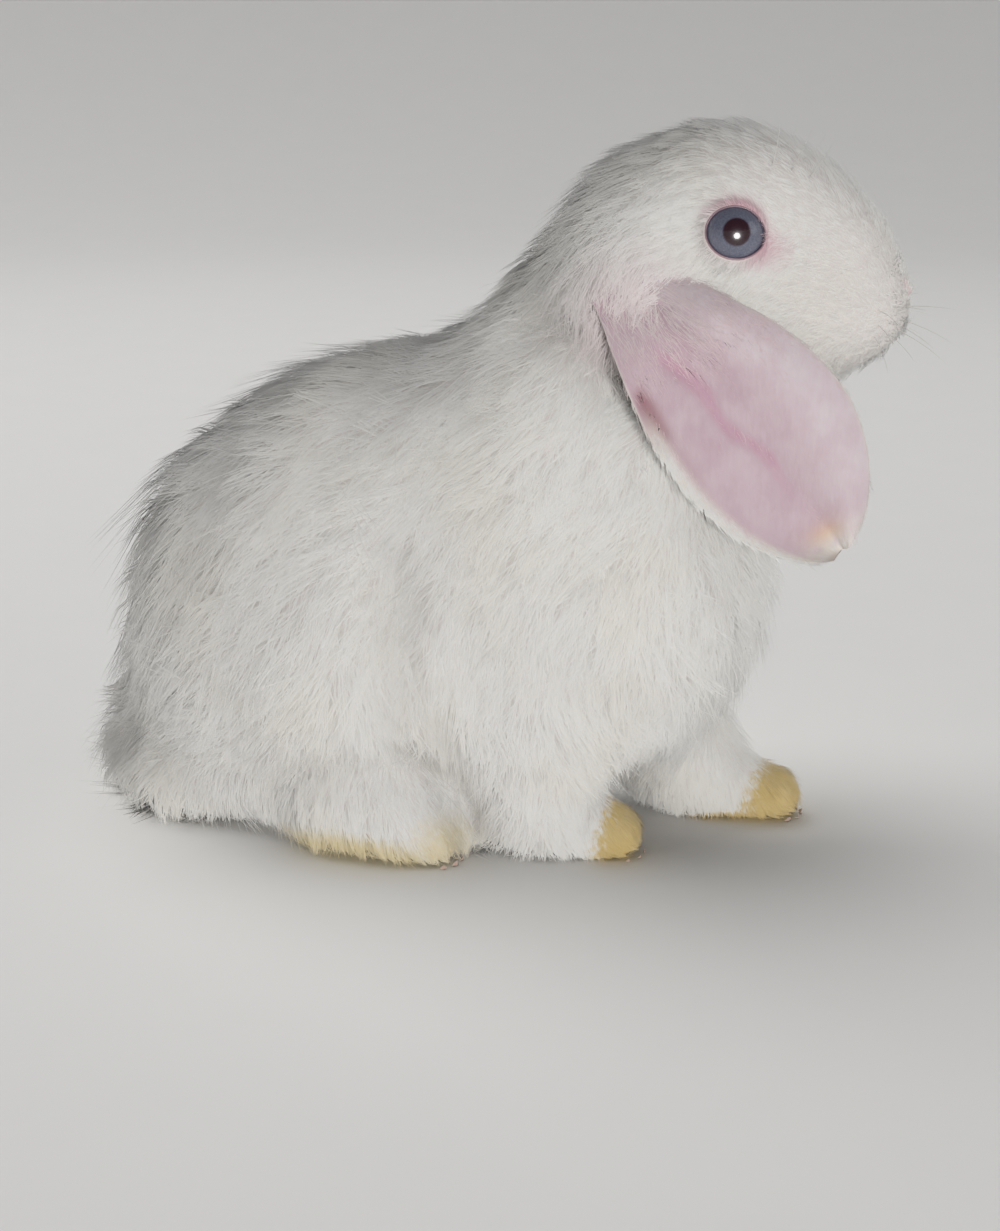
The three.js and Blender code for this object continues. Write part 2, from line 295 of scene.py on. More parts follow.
class Bench:
    """One material's node tree, with all node making in one method."""

    def __init__(self, name: str) -> None:
        """Makes the material with its shader."""
        self.material = bpy.data.materials.new(name)
        self.material.use_nodes = True
        self.tree = self.material.node_tree
        self.shader = self.tree.nodes["Principled BSDF"]

    def feed(self, socket: bpy.types.NodeSocket, value: Signal | float | tuple) -> None:
        """Links or sets one input."""
        if isinstance(value, Signal):
            self.tree.links.new(value.socket, socket)
        elif isinstance(value, tuple) and len(value) == 3 and socket.type == "RGBA":
            socket.default_value = (*value, 1.0)
        else:
            socket.default_value = value

    def node(self, kind: str, settings: dict, inputs: dict, output: int | str = 0) -> Signal:
        """Makes a node.

        Args:
            kind: The node's type.
            settings: Its settings, with a ramp's "stops" as (place, colour) pairs.
            inputs: Values or signals by the input's name or number.
            output: The output that is wanted.

        Returns:
            That output.
        """
        made = self.tree.nodes.new(kind)
        for key, value in settings.items():
            if key == "stops":
                self.fill_ramp(made.color_ramp, value)
            else:
                setattr(made, key, value)
        for key, value in inputs.items():
            self.feed(made.inputs[key], value)
        return Signal(self, made.outputs[output])

    def fill_ramp(self, ramp: bpy.types.ColorRamp, stops: list[tuple[float, Row]]) -> None:
        """Gives a ramp its stops."""
        while len(ramp.elements) < len(stops):
            ramp.elements.new(1.0)
        for element, (place, colour) in zip(ramp.elements, stops):
            element.position = place
            element.color = (*colour, 1.0)

    def place(self) -> Signal:
        """The point in the object's own coordinates."""
        return self.node("ShaderNodeTexCoord", {}, {}, "Object")

    def value_of(self, name: str) -> Signal:
        """The mesh attribute of that name."""
        return self.node("ShaderNodeAttribute", {"attribute_name": name}, {}, "Fac")

    def noise(self, place: Signal, size: float, detail: float = 2.0, blur: Row = (1, 1, 1)) -> Signal:
        """Soft noise about 0.5 with spots of the given size, drawn out along an axis by blur."""
        scaled = self.vector("MULTIPLY", place, tuple(1 / (size * b) for b in blur))
        inputs = {"Vector": scaled, "Scale": 1.0, "Detail": detail}
        return self.node("ShaderNodeTexNoise", {}, inputs, "Fac")

    def vector(self, operation: str, a: Signal, b: Signal | tuple, output: int | str = 0) -> Signal:
        """A Vector Math node."""
        return self.node("ShaderNodeVectorMath", {"operation": operation}, {0: a, 1: b}, output)

    def mix(self, factor: Signal | float, a: Signal | tuple, b: Signal | tuple) -> Signal:
        """Colour a where the factor is 0 and b where it is 1."""
        settings = {"data_type": "RGBA"}
        return self.node("ShaderNodeMix", settings, {0: factor, 6: a, 7: b}, 2)

    def near(self, place: Signal, middle: Vector, stretch: Row, low: float, high: float) -> Signal:
        """1 inside a soft ball and 0 outside it.

        Args:
            place: The point.
            middle: The ball's middle.
            stretch: The ball's half sizes along X, Y and Z, in metres.
            low: Where the ball starts to fade, as a share of its radius.
            high: Where it has faded.

        Returns:
            The mask.
        """
        offset = self.vector("SUBTRACT", place, tuple(middle))
        scaled = self.vector("DIVIDE", offset, stretch)
        return 1 - self.node("ShaderNodeVectorMath", {"operation": "LENGTH"}, {0: scaled}, "Value").step(low, high)

    def bump(self, height: Signal, strength: float, distance: float) -> None:
        """Sends a height through a Bump node into the shader's normal."""
        inputs = {"Strength": strength, "Distance": distance, "Height": height}
        self.feed(self.shader.inputs["Normal"], self.node("ShaderNodeBump", {}, inputs))

    def finish(self, colour: Signal | tuple, **uniform: float | tuple) -> bpy.types.Material:
        """Sets the colour and the shader's plain values.

        Args:
            colour: The base colour.
            uniform: Values by the input's name, with _ for a space.

        Returns:
            The material.
        """
        self.feed(self.shader.inputs["Base Color"], colour)
        for name, value in uniform.items():
            self.feed(self.shader.inputs[name.replace("_", " ")], value)
        return self.material


# ---- Finishes ---------------------------------------------------------------------------------------------
@dataclass(frozen=True)
class Markings:
    """The yellow stains on the feet, shared by the skin and the coat."""

    ochre: Row = (0.72, 0.54, 0.22)
    straw: Row = (0.80, 0.66, 0.34)

    def stained(self, bench: Bench, place: Signal, colour: Signal) -> Signal:
        """The colour with the stains over it.

        Args:
            bench: The material's bench.
            place: The point.
            colour: The unstained colour.

        Returns:
            The stained colour.
        """
        mottle = bench.noise(place, 4 * MM) * 0.5
        ragged = (bench.noise(place, 1.3 * MM, 3.0) - 0.5) * 1.2
        toe = bench.near(place, spot(46, -13, 3), (14 * MM, 13.5 * MM, 12 * MM), 0.62, 1.30)
        far_toe = bench.near(place, spot(72, 21, 3), (15 * MM, 14 * MM, 12 * MM), 0.62, 1.30)
        far_sole = bench.near(place, spot(57, 18, 0), (12 * MM, 17 * MM, 4.2 * MM), 0.6, 1.0)
        ochre_mask = (toe.most(far_toe).most(far_sole) + ragged).step(0.25, 0.85) * (0.82 + mottle * 0.4)
        for side in Side:
            sole = bench.near(place, spot(-14, side.value * 40, -1), (13 * MM, 30 * MM, 11 * MM), 0.45, 1.1)
            tip = bench.near(place, spot(9, side.value * 36, 3), (13 * MM, 14 * MM, 14 * MM), 0.2, 1.1)
            straw_mask = (sole.most(tip * 0.8) + ragged * 0.5) * (0.7 + mottle)
            colour = bench.mix(straw_mask.step(0.1, 1.1) * 0.8, colour, self.straw)
        return bench.mix(ochre_mask, colour, self.ochre)


@dataclass(frozen=True)
class CoatFinish:
    """White hair, a little warmer at its roots and darker there with painted shade deep in the coat, pink where it is
    thin over bare skin, and with shade painted into the body's folds.
    """

    markings: Markings
    tip: Row = (0.90, 0.89, 0.87)
    # the roots are a little warmer, and darker with painted shade deep in the coat
    root: Row = (0.86, 0.84, 0.81)
    cream: Row = (0.88, 0.85, 0.78)
    blush: Row = (0.78, 0.54, 0.59)
    # painted shade for the hair in the body's folds
    dusk: Row = (0.40, 0.37, 0.34)

    def make(self) -> bpy.types.Material:
        """The coat's material."""
        bench = Bench("white_hair")
        place = bench.place()
        along = bench.value_of("along")
        # painted shade deep in the coat: darker towards each tuft's root
        hair = bench.mix(along.step(0.0, 0.7), self.root, self.tip)
        patches = bench.noise(place, 26 * MM).step(0.42, 0.68) * 0.35
        toned = bench.mix((patches + bench.value_of("tone") * 0.45), hair, self.cream)
        pink = bench.mix(bench.value_of("blush"), toned, self.blush)
        # painted shade where the hair lies in a fold
        fold_shaded = bench.mix(bench.value_of("shade"), pink, self.dusk)
        return bench.finish(
            self.markings.stained(bench, place, fold_shaded),
            Roughness=0.75,
            Sheen_Weight=0.25,
            Sheen_Roughness=0.5,
            Specular_IOR_Level=0.25,
        )


@dataclass(frozen=True)
class SkinFinish:
    """Skin under the coat: white with short hair, pink where it is bare, and with shade painted into the body's folds.
    """

    markings: Markings
    short_hair: Row = (0.86, 0.83, 0.79)
    # painted shade for the skin in the body's folds
    dusk: Row = (0.40, 0.37, 0.34)
    pink: Row = (0.72, 0.46, 0.50)

    def make(self) -> bpy.types.Material:
        """The skin's material."""
        bench = Bench("skin_and_short_hair")
        place = bench.place()
        fleck = bench.noise(place, 0.5 * MM, 3.0)
        bare = bench.value_of("bare")
        # painted shade in the folds, over the short hair's colour
        fold_shaded = bench.mix(bench.value_of("shade"), bench.mix(fleck * 0.2, self.short_hair, self.pink), self.dusk)
        haired = self.markings.stained(bench, place, fold_shaded)
        colour = bench.mix(bare, haired, self.pink)
        bench.bump(fleck, 0.35, 0.3 * MM)
        return bench.finish(colour, Roughness=0.7, Specular_IOR_Level=0.3)


@dataclass(frozen=True)
class EarFinish:
    """The thin skin of an ear: mauve pink inside with darker creases and painted shade in the pocket at its rear edge,
    white with hair outside and at the rim.
    """

    mauve: Row = (0.64, 0.46, 0.52)
    pale: Row = (0.79, 0.69, 0.72)
    crease: Row = (0.62, 0.26, 0.40)
    # painted shade in the pocket at the rear edge
    pocket: Row = (0.38, 0.18, 0.20)
    rim: Row = (0.87, 0.82, 0.74)
    warm: Row = (0.84, 0.58, 0.36)

    def make(self) -> bpy.types.Material:
        """The ear's material, from what each point of an ear is."""
        bench = Bench("ear_skin")
        place = bench.place()
        streaks = bench.noise(place, 1.2 * MM, 3.0, (1.0, 1.0, 4.0))
        cloud = bench.noise(place, 7 * MM, 3.0).step(0.3, 0.7)
        veil = cloud * 0.35 + streaks * 0.45 + bench.value_of("ear_front") * 0.55
        inside = bench.mix(veil - 0.15, self.mauve, self.pale)
        inside = bench.mix(bench.value_of("ear_crease") * (0.2 + streaks * 0.6), inside, self.crease)
        # painted shade in the pocket at the rear edge
        inside = bench.mix(bench.value_of("ear_pocket") * 0.85, inside, self.pocket)
        inside = bench.mix(bench.value_of("ear_warm") * 0.7, inside, self.warm)
        haired = bench.mix(bench.value_of("ear_inner"), self.rim, inside)
        colour = bench.mix(bench.value_of("ear_rim") * 0.9, haired, self.rim)
        bench.bump(streaks, 0.5, 0.3 * MM)
        return bench.finish(colour, Roughness=0.6, Specular_IOR_Level=0.3)


@dataclass(frozen=True)
class EyeFinish:
    """A grey-blue iris round a maroon pupil, under a clear wet coat."""

    iris: Row = (0.125, 0.132, 0.190)
    iris_light: Row = (0.185, 0.195, 0.260)
    pupil: Row = (0.030, 0.005, 0.012)
    rim: Row = (0.035, 0.035, 0.055)
    white: Row = (0.72, 0.62, 0.60)

    def make(self) -> bpy.types.Material:
        """The eyeball's material, from its "gaze" attribute: 0 at the pupil's middle, 1 at the iris's edge."""
        bench = Bench("eye_blue_grey")
        place = bench.place()
        gaze = bench.value_of("gaze")
        fibres = bench.noise(place, 0.35 * MM, 3.0)
        iris = bench.mix(fibres.step(0.3, 0.75), self.iris, self.iris_light)
        iris = bench.mix(gaze.step(0.88, 1.0), iris, self.rim)
        ball = bench.mix(gaze.step(0.99, 1.05), iris, self.white)
        colour = bench.mix(gaze.step(0.34, 0.42), self.pupil, ball)
        return bench.finish(colour, Roughness=0.25, Coat_Weight=1.0, Coat_Roughness=0.02, Specular_IOR_Level=0.5)


@dataclass(frozen=True)
class LidFinish:
    """The wet pink edge of the lids, dark where it meets the ball."""

    pink: Row = (0.58, 0.38, 0.42)
    dark: Row = (0.14, 0.08, 0.11)

    def make(self) -> bpy.types.Material:
        """The lids' material."""
        bench = Bench("lid_edge")
        spots = bench.noise(bench.place(), 0.7 * MM, 2.0)
        inner = bench.value_of("inner")
        colour = bench.mix(inner, bench.mix(spots * 0.4, self.pink, self.dark), self.dark)
        bench.bump(spots, 0.3, 0.15 * MM)
        return bench.finish(colour, Roughness=0.35, Coat_Weight=0.4, Coat_Roughness=0.15)


@dataclass(frozen=True)
class ClawFinish:
    """Pale horn mottled with pink."""

    horn: Row = (0.62, 0.52, 0.42)
    pink: Row = (0.62, 0.40, 0.35)

    def make(self) -> bpy.types.Material:
        """The claws' material."""
        bench = Bench("claw_horn")
        grain = bench.noise(bench.place(), 0.6 * MM, 3.0)
        bench.bump(grain, 0.2, 0.1 * MM)
        return bench.finish(bench.mix(grain, self.horn, self.pink), Roughness=0.35)


@dataclass(frozen=True)
class WhiskerFinish:
    """Stiff clear white hair."""

    white: Row = (0.88, 0.86, 0.82)
    clear: Row = (0.74, 0.70, 0.64)

    def make(self) -> bpy.types.Material:
        """The whiskers' material."""
        bench = Bench("whisker")
        bands = bench.noise(bench.place(), 1.5 * MM, 2.0)
        return bench.finish(bench.mix(bands, self.white, self.clear), Roughness=0.35)


@dataclass(frozen=True)
class FloorFinish:
    """A plain pale floor."""

    pale: Row = (0.80, 0.79, 0.77)
    shade: Row = (0.70, 0.70, 0.69)

    def make(self) -> bpy.types.Material:
        """The floor's material."""
        bench = Bench("floor")
        grain = bench.noise(bench.place(), 30 * MM, 3.0)
        return bench.finish(bench.mix(grain * 0.2, self.pale, self.shade), Roughness=0.9)


# ---- Where things are -------------------------------------------------------------------------------------
class HeadAxes:
    """The head's own axes, which the two eyeballs give: forward, left and up of the head's pivot, in mm."""

    EYE_AHEAD = 27.0
    EYE_UP = 21.6

    def __init__(self) -> None:
        """Reads the eyes' boxes in the frame."""
        right, left = (sum(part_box(f"eye_{s.label}"), Vector()) / 2 for s in Side)
        self.left = (left - right).normalized()
        self.up = Vector((0, 0, 1))
        self.forward = self.left.cross(self.up)
        middle = (left + right) / 2
        self.pivot = middle - (self.forward * self.EYE_AHEAD + self.up * self.EYE_UP) * MM
        self.turn = np.array([self.forward, self.left, self.up])

    def way(self, forward: float, left: float, up: float) -> Vector:
        """A direction of the head as one of the frame."""
        return self.forward * forward + self.left * left + self.up * up

    def place(self, forward: float, left: float, up: float) -> Vector:
        """A point of the head as one of the frame."""
        return self.pivot + self.way(forward, left, up) * MM

    def read(self, points: np.ndarray) -> np.ndarray:
        """Points of the frame as forward, left and up in mm, one row each."""
        return (points - np.array(self.pivot)) @ self.turn.T / MM


@dataclass(frozen=True)
class Lie:
    """How the coat lies about one place. A guide off the midline counts on both sides.

    Attributes:
        place: Ahead, left and up, in mm. On the head, from its pivot along its own axes.
        way: The way the hair points, along the same axes.
        depth: How far the skin lies under the coat's outline, in mm.
        length: The hair's length, in mm.
        width: The width of a tuft at its widest, in mm.
        region: The piece of the coat that it belongs to.
    """

    place: Row
    way: Row
    depth: float
    length: float
    width: float
    region: Region


HEAD_LIES = (
    Lie((65, 0, 8), (-0.45, 0, 0.9), 0.8, 1.6, 0.20, Region.HEAD),  # tip of the nose
    Lie((60, 0, 19), (-0.5, 0, 0.85), 1.3, 3.0, 0.25, Region.HEAD),  # bridge
    Lie((50, 0, 30), (-0.85, 0, 0.5), 1.8, 4.2, 0.29, Region.HEAD),  # brow
    Lie((28, 0, 42), (-1, 0, 0), 2.2, 5.5, 0.34, Region.HEAD),  # crown
    Lie((8, 0, 37), (-0.8, 0, -0.6), 3.4, 9.0, 0.42, Region.HEAD),  # back of the head
    Lie((33, 18, 34), (-0.95, 0.1, 0.2), 1.5, 3.6, 0.28, Region.HEAD),  # above the eye
    Lie((58, 11, 12), (-0.85, 0.2, 0.45), 1.1, 2.0, 0.24, Region.HEAD),  # side of the muzzle
    Lie((60, 9, 2), (-0.8, 0.5, -0.25), 1.3, 2.4, 0.24, Region.HEAD),  # whisker pad
    Lie((48, 16, 12), (-0.98, 0.1, 0.05), 1.4, 3.2, 0.28, Region.HEAD),  # below the eye
    Lie((38, 20, 3), (-0.95, 0, -0.35), 1.8, 4.8, 0.32, Region.HEAD),  # cheek
    Lie((22, 22, 5), (-0.85, 0, -0.6), 2.4, 7.0, 0.38, Region.HEAD),  # jaw
    Lie((50, 0, -10), (-0.9, 0, -0.3), 1.8, 3.6, 0.30, Region.HEAD),  # chin
    Lie((34, 0, -12), (-0.8, 0, -0.6), 3.0, 6.5, 0.40, Region.HEAD),  # under the jaw
    Lie((15, 21, 26), (-0.7, 0.3, -0.7), 2.4, 8.5, 0.34, Region.HEAD),  # behind the eye
    Lie((3, 19, 20), (-0.2, 0.4, -0.9), 2.6, 12.0, 0.32, Region.HEAD),  # root of the ear
    Lie((-2, 18, 8), (-0.4, 0.3, -0.9), 4.0, 12.0, 0.40, Region.HEAD),  # behind the ear
)

BODY_LIES = (
    Lie((8, 0, 126), (-0.75, 0, -0.65), 4.0, 12.0, 0.38, Region.NECK),  # nape
    Lie((16, 22, 108), (-0.6, 0, -0.85), 4.2, 12.0, 0.36, Region.NECK),  # side of the neck
    Lie((50, 0, 92), (-0.1, 0, -1), 5.0, 12.0, 0.36, Region.CHEST),  # throat
    Lie((66, 0, 70), (0.05, 0, -1), 6.0, 13.0, 0.40, Region.CHEST),  # chest
    Lie((62, 12, 48), (0.25, 0, -1), 6.5, 15.0, 0.42, Region.CHEST),  # low chest
    Lie((34, 31, 78), (-0.35, 0, -0.95), 5.0, 12.0, 0.41, Region.CHEST),  # shoulder
    Lie((24, 32, 50), (-0.3, 0, -0.95), 4.5, 12.0, 0.41, Region.FLANK),  # upper foreleg
    Lie((-4, 0, 109), (-0.85, 0, -0.4), 3.5, 14.0, 0.42, Region.BACK),  # withers
    Lie((-34, 0, 101), (-0.9, 0, -0.4), 6.0, 16.0, 0.44, Region.BACK),  # back
    Lie((-8, 36, 78), (-0.55, 0, -0.8), 5.5, 15.0, 0.45, Region.FLANK),  # ribs
    Lie((-10, 38, 50), (-0.35, 0, -0.9), 5.5, 14.0, 0.44, Region.FLANK),  # flank
    Lie((-62, 0, 84), (-0.75, 0, -0.65), 7.5, 19.0, 0.45, Region.RUMP),  # top of the rump
    Lie((-84, 0, 52), (-0.30, 0, -0.95), 7.5, 19.0, 0.45, Region.RUMP),  # back of the rump
    Lie((-66, 28, 56), (-0.6, 0, -0.8), 7.0, 18.0, 0.45, Region.RUMP),  # side of the rump
    Lie((-40, 40, 44), (-0.4, 0, -0.9), 6.0, 15.0, 0.45, Region.FLANK),  # haunch
    Lie((-88, 8, 26), (-0.1, 0, -1), 6.5, 13.0, 0.42, Region.RUMP),  # tail
    Lie((-84, 16, 10), (-0.3, 0.1, -0.9), 6.0, 11.0, 0.40, Region.RUMP),  # seat
    Lie((-60, 36, 16), (-0.4, 0.1, -0.9), 5.0, 11.0, 0.42, Region.RUMP),  # hem of the haunch
    Lie((-40, 41, 29), (-0.6, 0, -0.8), 6.0, 11.0, 0.38, Region.FLANK),  # hem over the heel
    Lie((-20, 43, 31), (-0.4, 0, -0.9), 5.5, 10.0, 0.36, Region.FLANK),  # hem over the hind foot
    Lie((-2, 40, 31), (-0.1, 0, -1), 5.0, 10.0, 0.37, Region.FLANK),  # knee
    Lie((15, 0, 12), (-1, 0, -0.2), 3.0, 8.0, 0.42, Region.LEGS),  # belly
    Lie((-34, 36, 10), (0.0, 0.1, -0.9), 2.4, 8.0, 0.38, Region.LEGS),  # heel
    Lie((-22, 42, 12), (0.15, 0, -0.9), 2.4, 8.0, 0.38, Region.LEGS),  # back of the hind foot
    Lie((-7, 43, 12), (0.25, 0, -0.9), 2.2, 7.0, 0.36, Region.LEGS),  # hind foot
    Lie((5, 36, 6), (0.6, 0, -0.7), 1.2, 4.5, 0.28, Region.LEGS),  # hind toes
)

FORELEG_LIES = (
    Lie((26, -26, 30), (0, 0, -1), 3.4, 12.0, 0.38, Region.LEGS),  # right foreleg
    Lie((10, -22, 12), (-0.2, 0, -0.95), 3.0, 12.0, 0.33, Region.LEGS),  # hair behind it
    Lie((32, -20, 13), (0.3, 0, -0.9), 2.2, 7.5, 0.33, Region.LEGS),  # right wrist
    Lie((44, -14, 6), (0.8, 0, -0.5), 0.6, 3.6, 0.24, Region.LEGS),  # right toes
    Lie((52, 20, 36), (0.2, 0, -1), 3.0, 12.0, 0.38, Region.LEGS),  # left foreleg
    Lie((34, 20, 12), (-0.3, 0, -0.95), 2.8, 11.0, 0.32, Region.LEGS),  # hair behind it
    Lie((60, 18, 14), (0.35, 0, -0.9), 2.0, 7.0, 0.33, Region.LEGS),  # left wrist
    Lie((72, 21, 6), (0.8, 0, -0.5), 0.6, 3.6, 0.24, Region.LEGS),  # left toes
)


class CoatMap:
    """The coat's lie over the whole body, blended from the guides."""

    SPARSE = 0.26  # cover of the shortest hair, which is mostly bump on the skin
    REACH = 7 * MM
    SHARPNESS = 2.6

    WANDER = 0.24  # how far the lie of long hair wanders
    WAVER = 0.24  # and how far its locks differ
    SWELL = 0.28  # how unevenly long hair stands
    DRAWN = np.array([1.0, 1.0, 0.45])  # its swells are drawn out upwards
    drift = Ripple(16 * MM, 3, outputs=3)
    flutter = Ripple(5 * MM, 4, outputs=3)
    lumps = Ripple(8 * MM, 5)

    def __init__(self, head: HeadAxes) -> None:
        """Gathers the guides of both sides in the frame's axes."""
        rows = [(head.place(*g.place), head.way(*g.way), g) for g in self.both_sides(HEAD_LIES)]
        for guide in (*self.both_sides(BODY_LIES), *FORELEG_LIES):
            rows.append((spot(*guide.place), spot(*guide.way), guide))
        self.places = np.array([place for place, _, _ in rows])
        self.ways = unit(np.array([way for _, way, _ in rows]))
        sizes = np.array([(g.depth, g.length, g.width) for _, _, g in rows]) * MM
        cover = self.SPARSE + (1 - self.SPARSE) * ease(2.5 * MM, 9 * MM, sizes[:, 1:2])
        self.sizes = np.hstack([sizes, cover])
        self.regions = np.array([g.region.value for _, _, g in rows])

    def both_sides(self, guides: tuple[Lie, ...]) -> list[Lie]:
        """The guides, with a mirrored one for each that is off the midline."""
        mirrored = [
            Lie(
                (g.place[0], -g.place[1], g.place[2]),
                (g.way[0], -g.way[1], g.way[2]),
                g.depth,
                g.length,
                g.width,
                g.region,
            )
            for g in guides
            if g.place[1]
        ]
        return [*guides, *mirrored]

    def read(self, points: np.ndarray) -> tuple[np.ndarray, np.ndarray, np.ndarray]:
        """Blends the guides at the points.

        Args:
            points: Places on or near the body.

        Returns:
            The hair's way, its (depth, length, width, cover), and the nearest guide's region.
        """
        gap = ((points[:, None, :] - self.places[None]) ** 2).sum(-1) + self.REACH**2
        weights = gap**-self.SHARPNESS
        weights /= weights.sum(1, keepdims=True)
        sizes = weights @ self.sizes
        long = ease(3 * MM, 12 * MM, sizes[:, 1:2])
        ways = weights @ self.ways + long * (self.WANDER * self.drift.read(points) + self.WAVER * self.flutter.read(points))
        sizes[:, :1] *= 1 + self.SWELL * long * self.lumps.read(points * self.DRAWN)
        return ways, sizes, self.regions[gap.argmin(1)]


# ---- The eyes ---------------------------------------------------------------------------------------------
@dataclass
class Eye:
    """One eye: its ball with a bulging cornea, where it looks, and the edge of its lids."""

    side: Side
    head: HeadAxes
    radius: float = 7.2 * MM
    look: Row = (0.10, 1.0, 0.20)  # forward, out to the side and up
    opening: tuple[float, float] = (0.89, 0.76)  # half angles of the opening, to the corners and up
    point: float = 0.10  # how much further the opening runs into its front corner
    iris: float = 0.97  # half angle of the iris
    bulge: float = 0.55 * MM  # of the cornea
    lid: float = 0.6 * MM  # thickness of a lid
    bank: float = 16 * MM  # how steeply the skin rises from the lid's edge to the face
    hollow: float = 1.3 * MM  # how far behind the ball's front the skin lies in the opening
    edge: float = 0.24 * MM  # radius of the lids' wet edge

    def __post_init__(self) -> None:
        """Finds the ball's middle and axes in the frame."""
        lowest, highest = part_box(f"eye_{self.side.label}")
        self.middle = np.array((lowest + highest) / 2)
        ahead, out, up = self.look
        look = unit(np.array(self.head.way(ahead, self.side.value * out, up)))
        corner = np.array(self.head.way(1.0, 0.0, -0.15))
        corner = unit(corner - look * (corner @ look))
        top = np.cross(look, corner)
        self.axes = np.array([look, corner, top if top[2] > 0 else -top])

    def reach(self, round_about: np.ndarray) -> np.ndarray:
        """The opening's half angle in each direction round the look, from 0 at the front corner."""
        wide, high = self.opening
        ellipse = 1 / np.hypot(np.cos(round_about) / wide, np.sin(round_about) / high)
        return ellipse * (1 + self.point * np.maximum(0, np.cos(round_about)) ** 8)

    def angles(self, points: np.ndarray) -> tuple[np.ndarray, np.ndarray, np.ndarray]:
        """Where points lie about the ball.

        Args:
            points: Places near the eye.

        Returns:
            Their distance from the ball's middle, how far out they are, 1 on the edge of the opening, and
            where they are round the look, from 0 at the front corner.
        """
        offset = points - self.middle
        distance = np.linalg.norm(offset, axis=1)
        look, corner, top = (offset @ self.axes.T / distance[:, None]).T
        about = np.arctan2(top, corner)
        return distance, np.arccos(np.clip(look, -1, 1)) / self.reach(about), about

    def flush(self, points: np.ndarray) -> np.ndarray:
        """How pink the skin and its hair are: above the eye and at its front corner."""
        distance, out, about = self.angles(points)
        above = np.clip(np.cos(about - math.radians(75)), 0, 1)
        corner = np.clip(np.cos(about + math.radians(12)), 0, 1) ** 4
        pink = np.maximum(above, corner)
        ring = 1 - ease(1.04, 1.22 + 0.40 * pink, out)
        return ring * (0.12 + 0.85 * pink) * (distance < self.radius * 1.8)

    def ball(self) -> bpy.types.Mesh:
        """The ball, with how far each vertex is from the pupil's middle as "gaze"."""
        form = bmesh.new()
        bmesh.ops.create_uvsphere(form, u_segments=64, v_segments=48, radius=self.radius)
        mesh = bpy.data.meshes.new("eyeball")
        form.to_mesh(mesh)
        form.free()
        points = points_of(mesh)
        angle = np.arccos(np.clip(points[:, 2] / self.radius, -1, 1))
        swell = 1 + self.bulge / self.radius * (1 - ease(0.2, self.iris * 1.05, angle))
        look, corner, top = self.axes
        turned = points * swell[:, None]
        placed = turned[:, :1] * corner + turned[:, 1:2] * np.cross(look, corner) + turned[:, 2:] * look
        put_points(mesh, placed + self.middle)
        put_values(mesh, "gaze", angle / self.iris)
        return mesh

    def lids(self) -> bpy.types.Mesh:
        """The wet edge of both lids, a thin ring on the ball."""
        form = bmesh.new()
        bmesh.ops.create_circle(form, segments=10, radius=self.edge)
        bmesh.ops.rotate(form, verts=form.verts, matrix=Matrix.Rotation(math.pi / 2, 3, "X"))
        bmesh.ops.translate(form, verts=form.verts, vec=(self.radius, 0, 0))
        geometry = [*form.verts, *form.edges]
        bmesh.ops.spin(
            form, geom=geometry, cent=(0, 0, 0), axis=(0, 0, 1), angle=2 * math.pi, steps=72, use_merge=True
        )
        bmesh.ops.remove_doubles(form, verts=form.verts, dist=0.001 * MM)
        bmesh.ops.recalc_face_normals(form, faces=form.faces)
        mesh = bpy.data.meshes.new("lid_edge")
        form.to_mesh(mesh)
        form.free()
        points = points_of(mesh)
        about = np.arctan2(points[:, 1], points[:, 0])
        outward = np.hypot(points[:, 0], points[:, 1]) - self.radius
        look, corner, top = self.axes
        angle = self.reach(about) + outward / self.radius * 1.15
        height = self.radius + 0.30 * MM + points[:, 2]
        flat = np.sin(angle)[:, None] * (np.cos(about)[:, None] * corner + np.sin(about)[:, None] * top)
        put_points(mesh, self.middle + height[:, None] * (flat + np.cos(angle)[:, None] * look))
        put_values(mesh, "inner", ease(0.2, 1.0, -outward / self.edge))
        for polygon in mesh.polygons:
            polygon.use_smooth = True
        form = bmesh.new()
        form.from_mesh(mesh)
        bmesh.ops.recalc_face_normals(form, faces=form.faces)
        form.to_mesh(mesh)
        form.free()
        return mesh

    def wrap(self, points: np.ndarray) -> np.ndarray:
        """Lays the skin round the ball as lids, and sinks it behind the opening."""
        distance, out, _ = self.angles(points)
        lid = self.radius + self.lid
        bank = np.clip(distance, lid, lid + self.bank * np.maximum(0, out - 1))
        wanted = self.radius - self.hollow + (bank - self.radius + self.hollow) * ease(0.92, 1.03, out)
        near = (1 - ease(1.45, 1.75, out)) * (1 - ease(1.6, 2.2, distance / self.radius))
        scale = 1 + (wanted / distance - 1) * near
        return self.middle + (points - self.middle) * scale[:, None]

    def build(self, ball: bpy.types.Material, lids: bpy.types.Material) -> None:
        """Makes the eyeball and the lids' edge."""
        name = f"eye_{self.side.label}"
        eyeball = shown(self.ball(), f"{name}_ball", [ball])
        for polygon in eyeball.data.polygons:
            polygon.use_smooth = True
        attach(eyeball, "root")
        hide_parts(name)
        rim = shown(self.lids(), f"{name}_lid_edge", [lids])
        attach(rim, "root")
        LOG.info("%s: ball and lids", name)


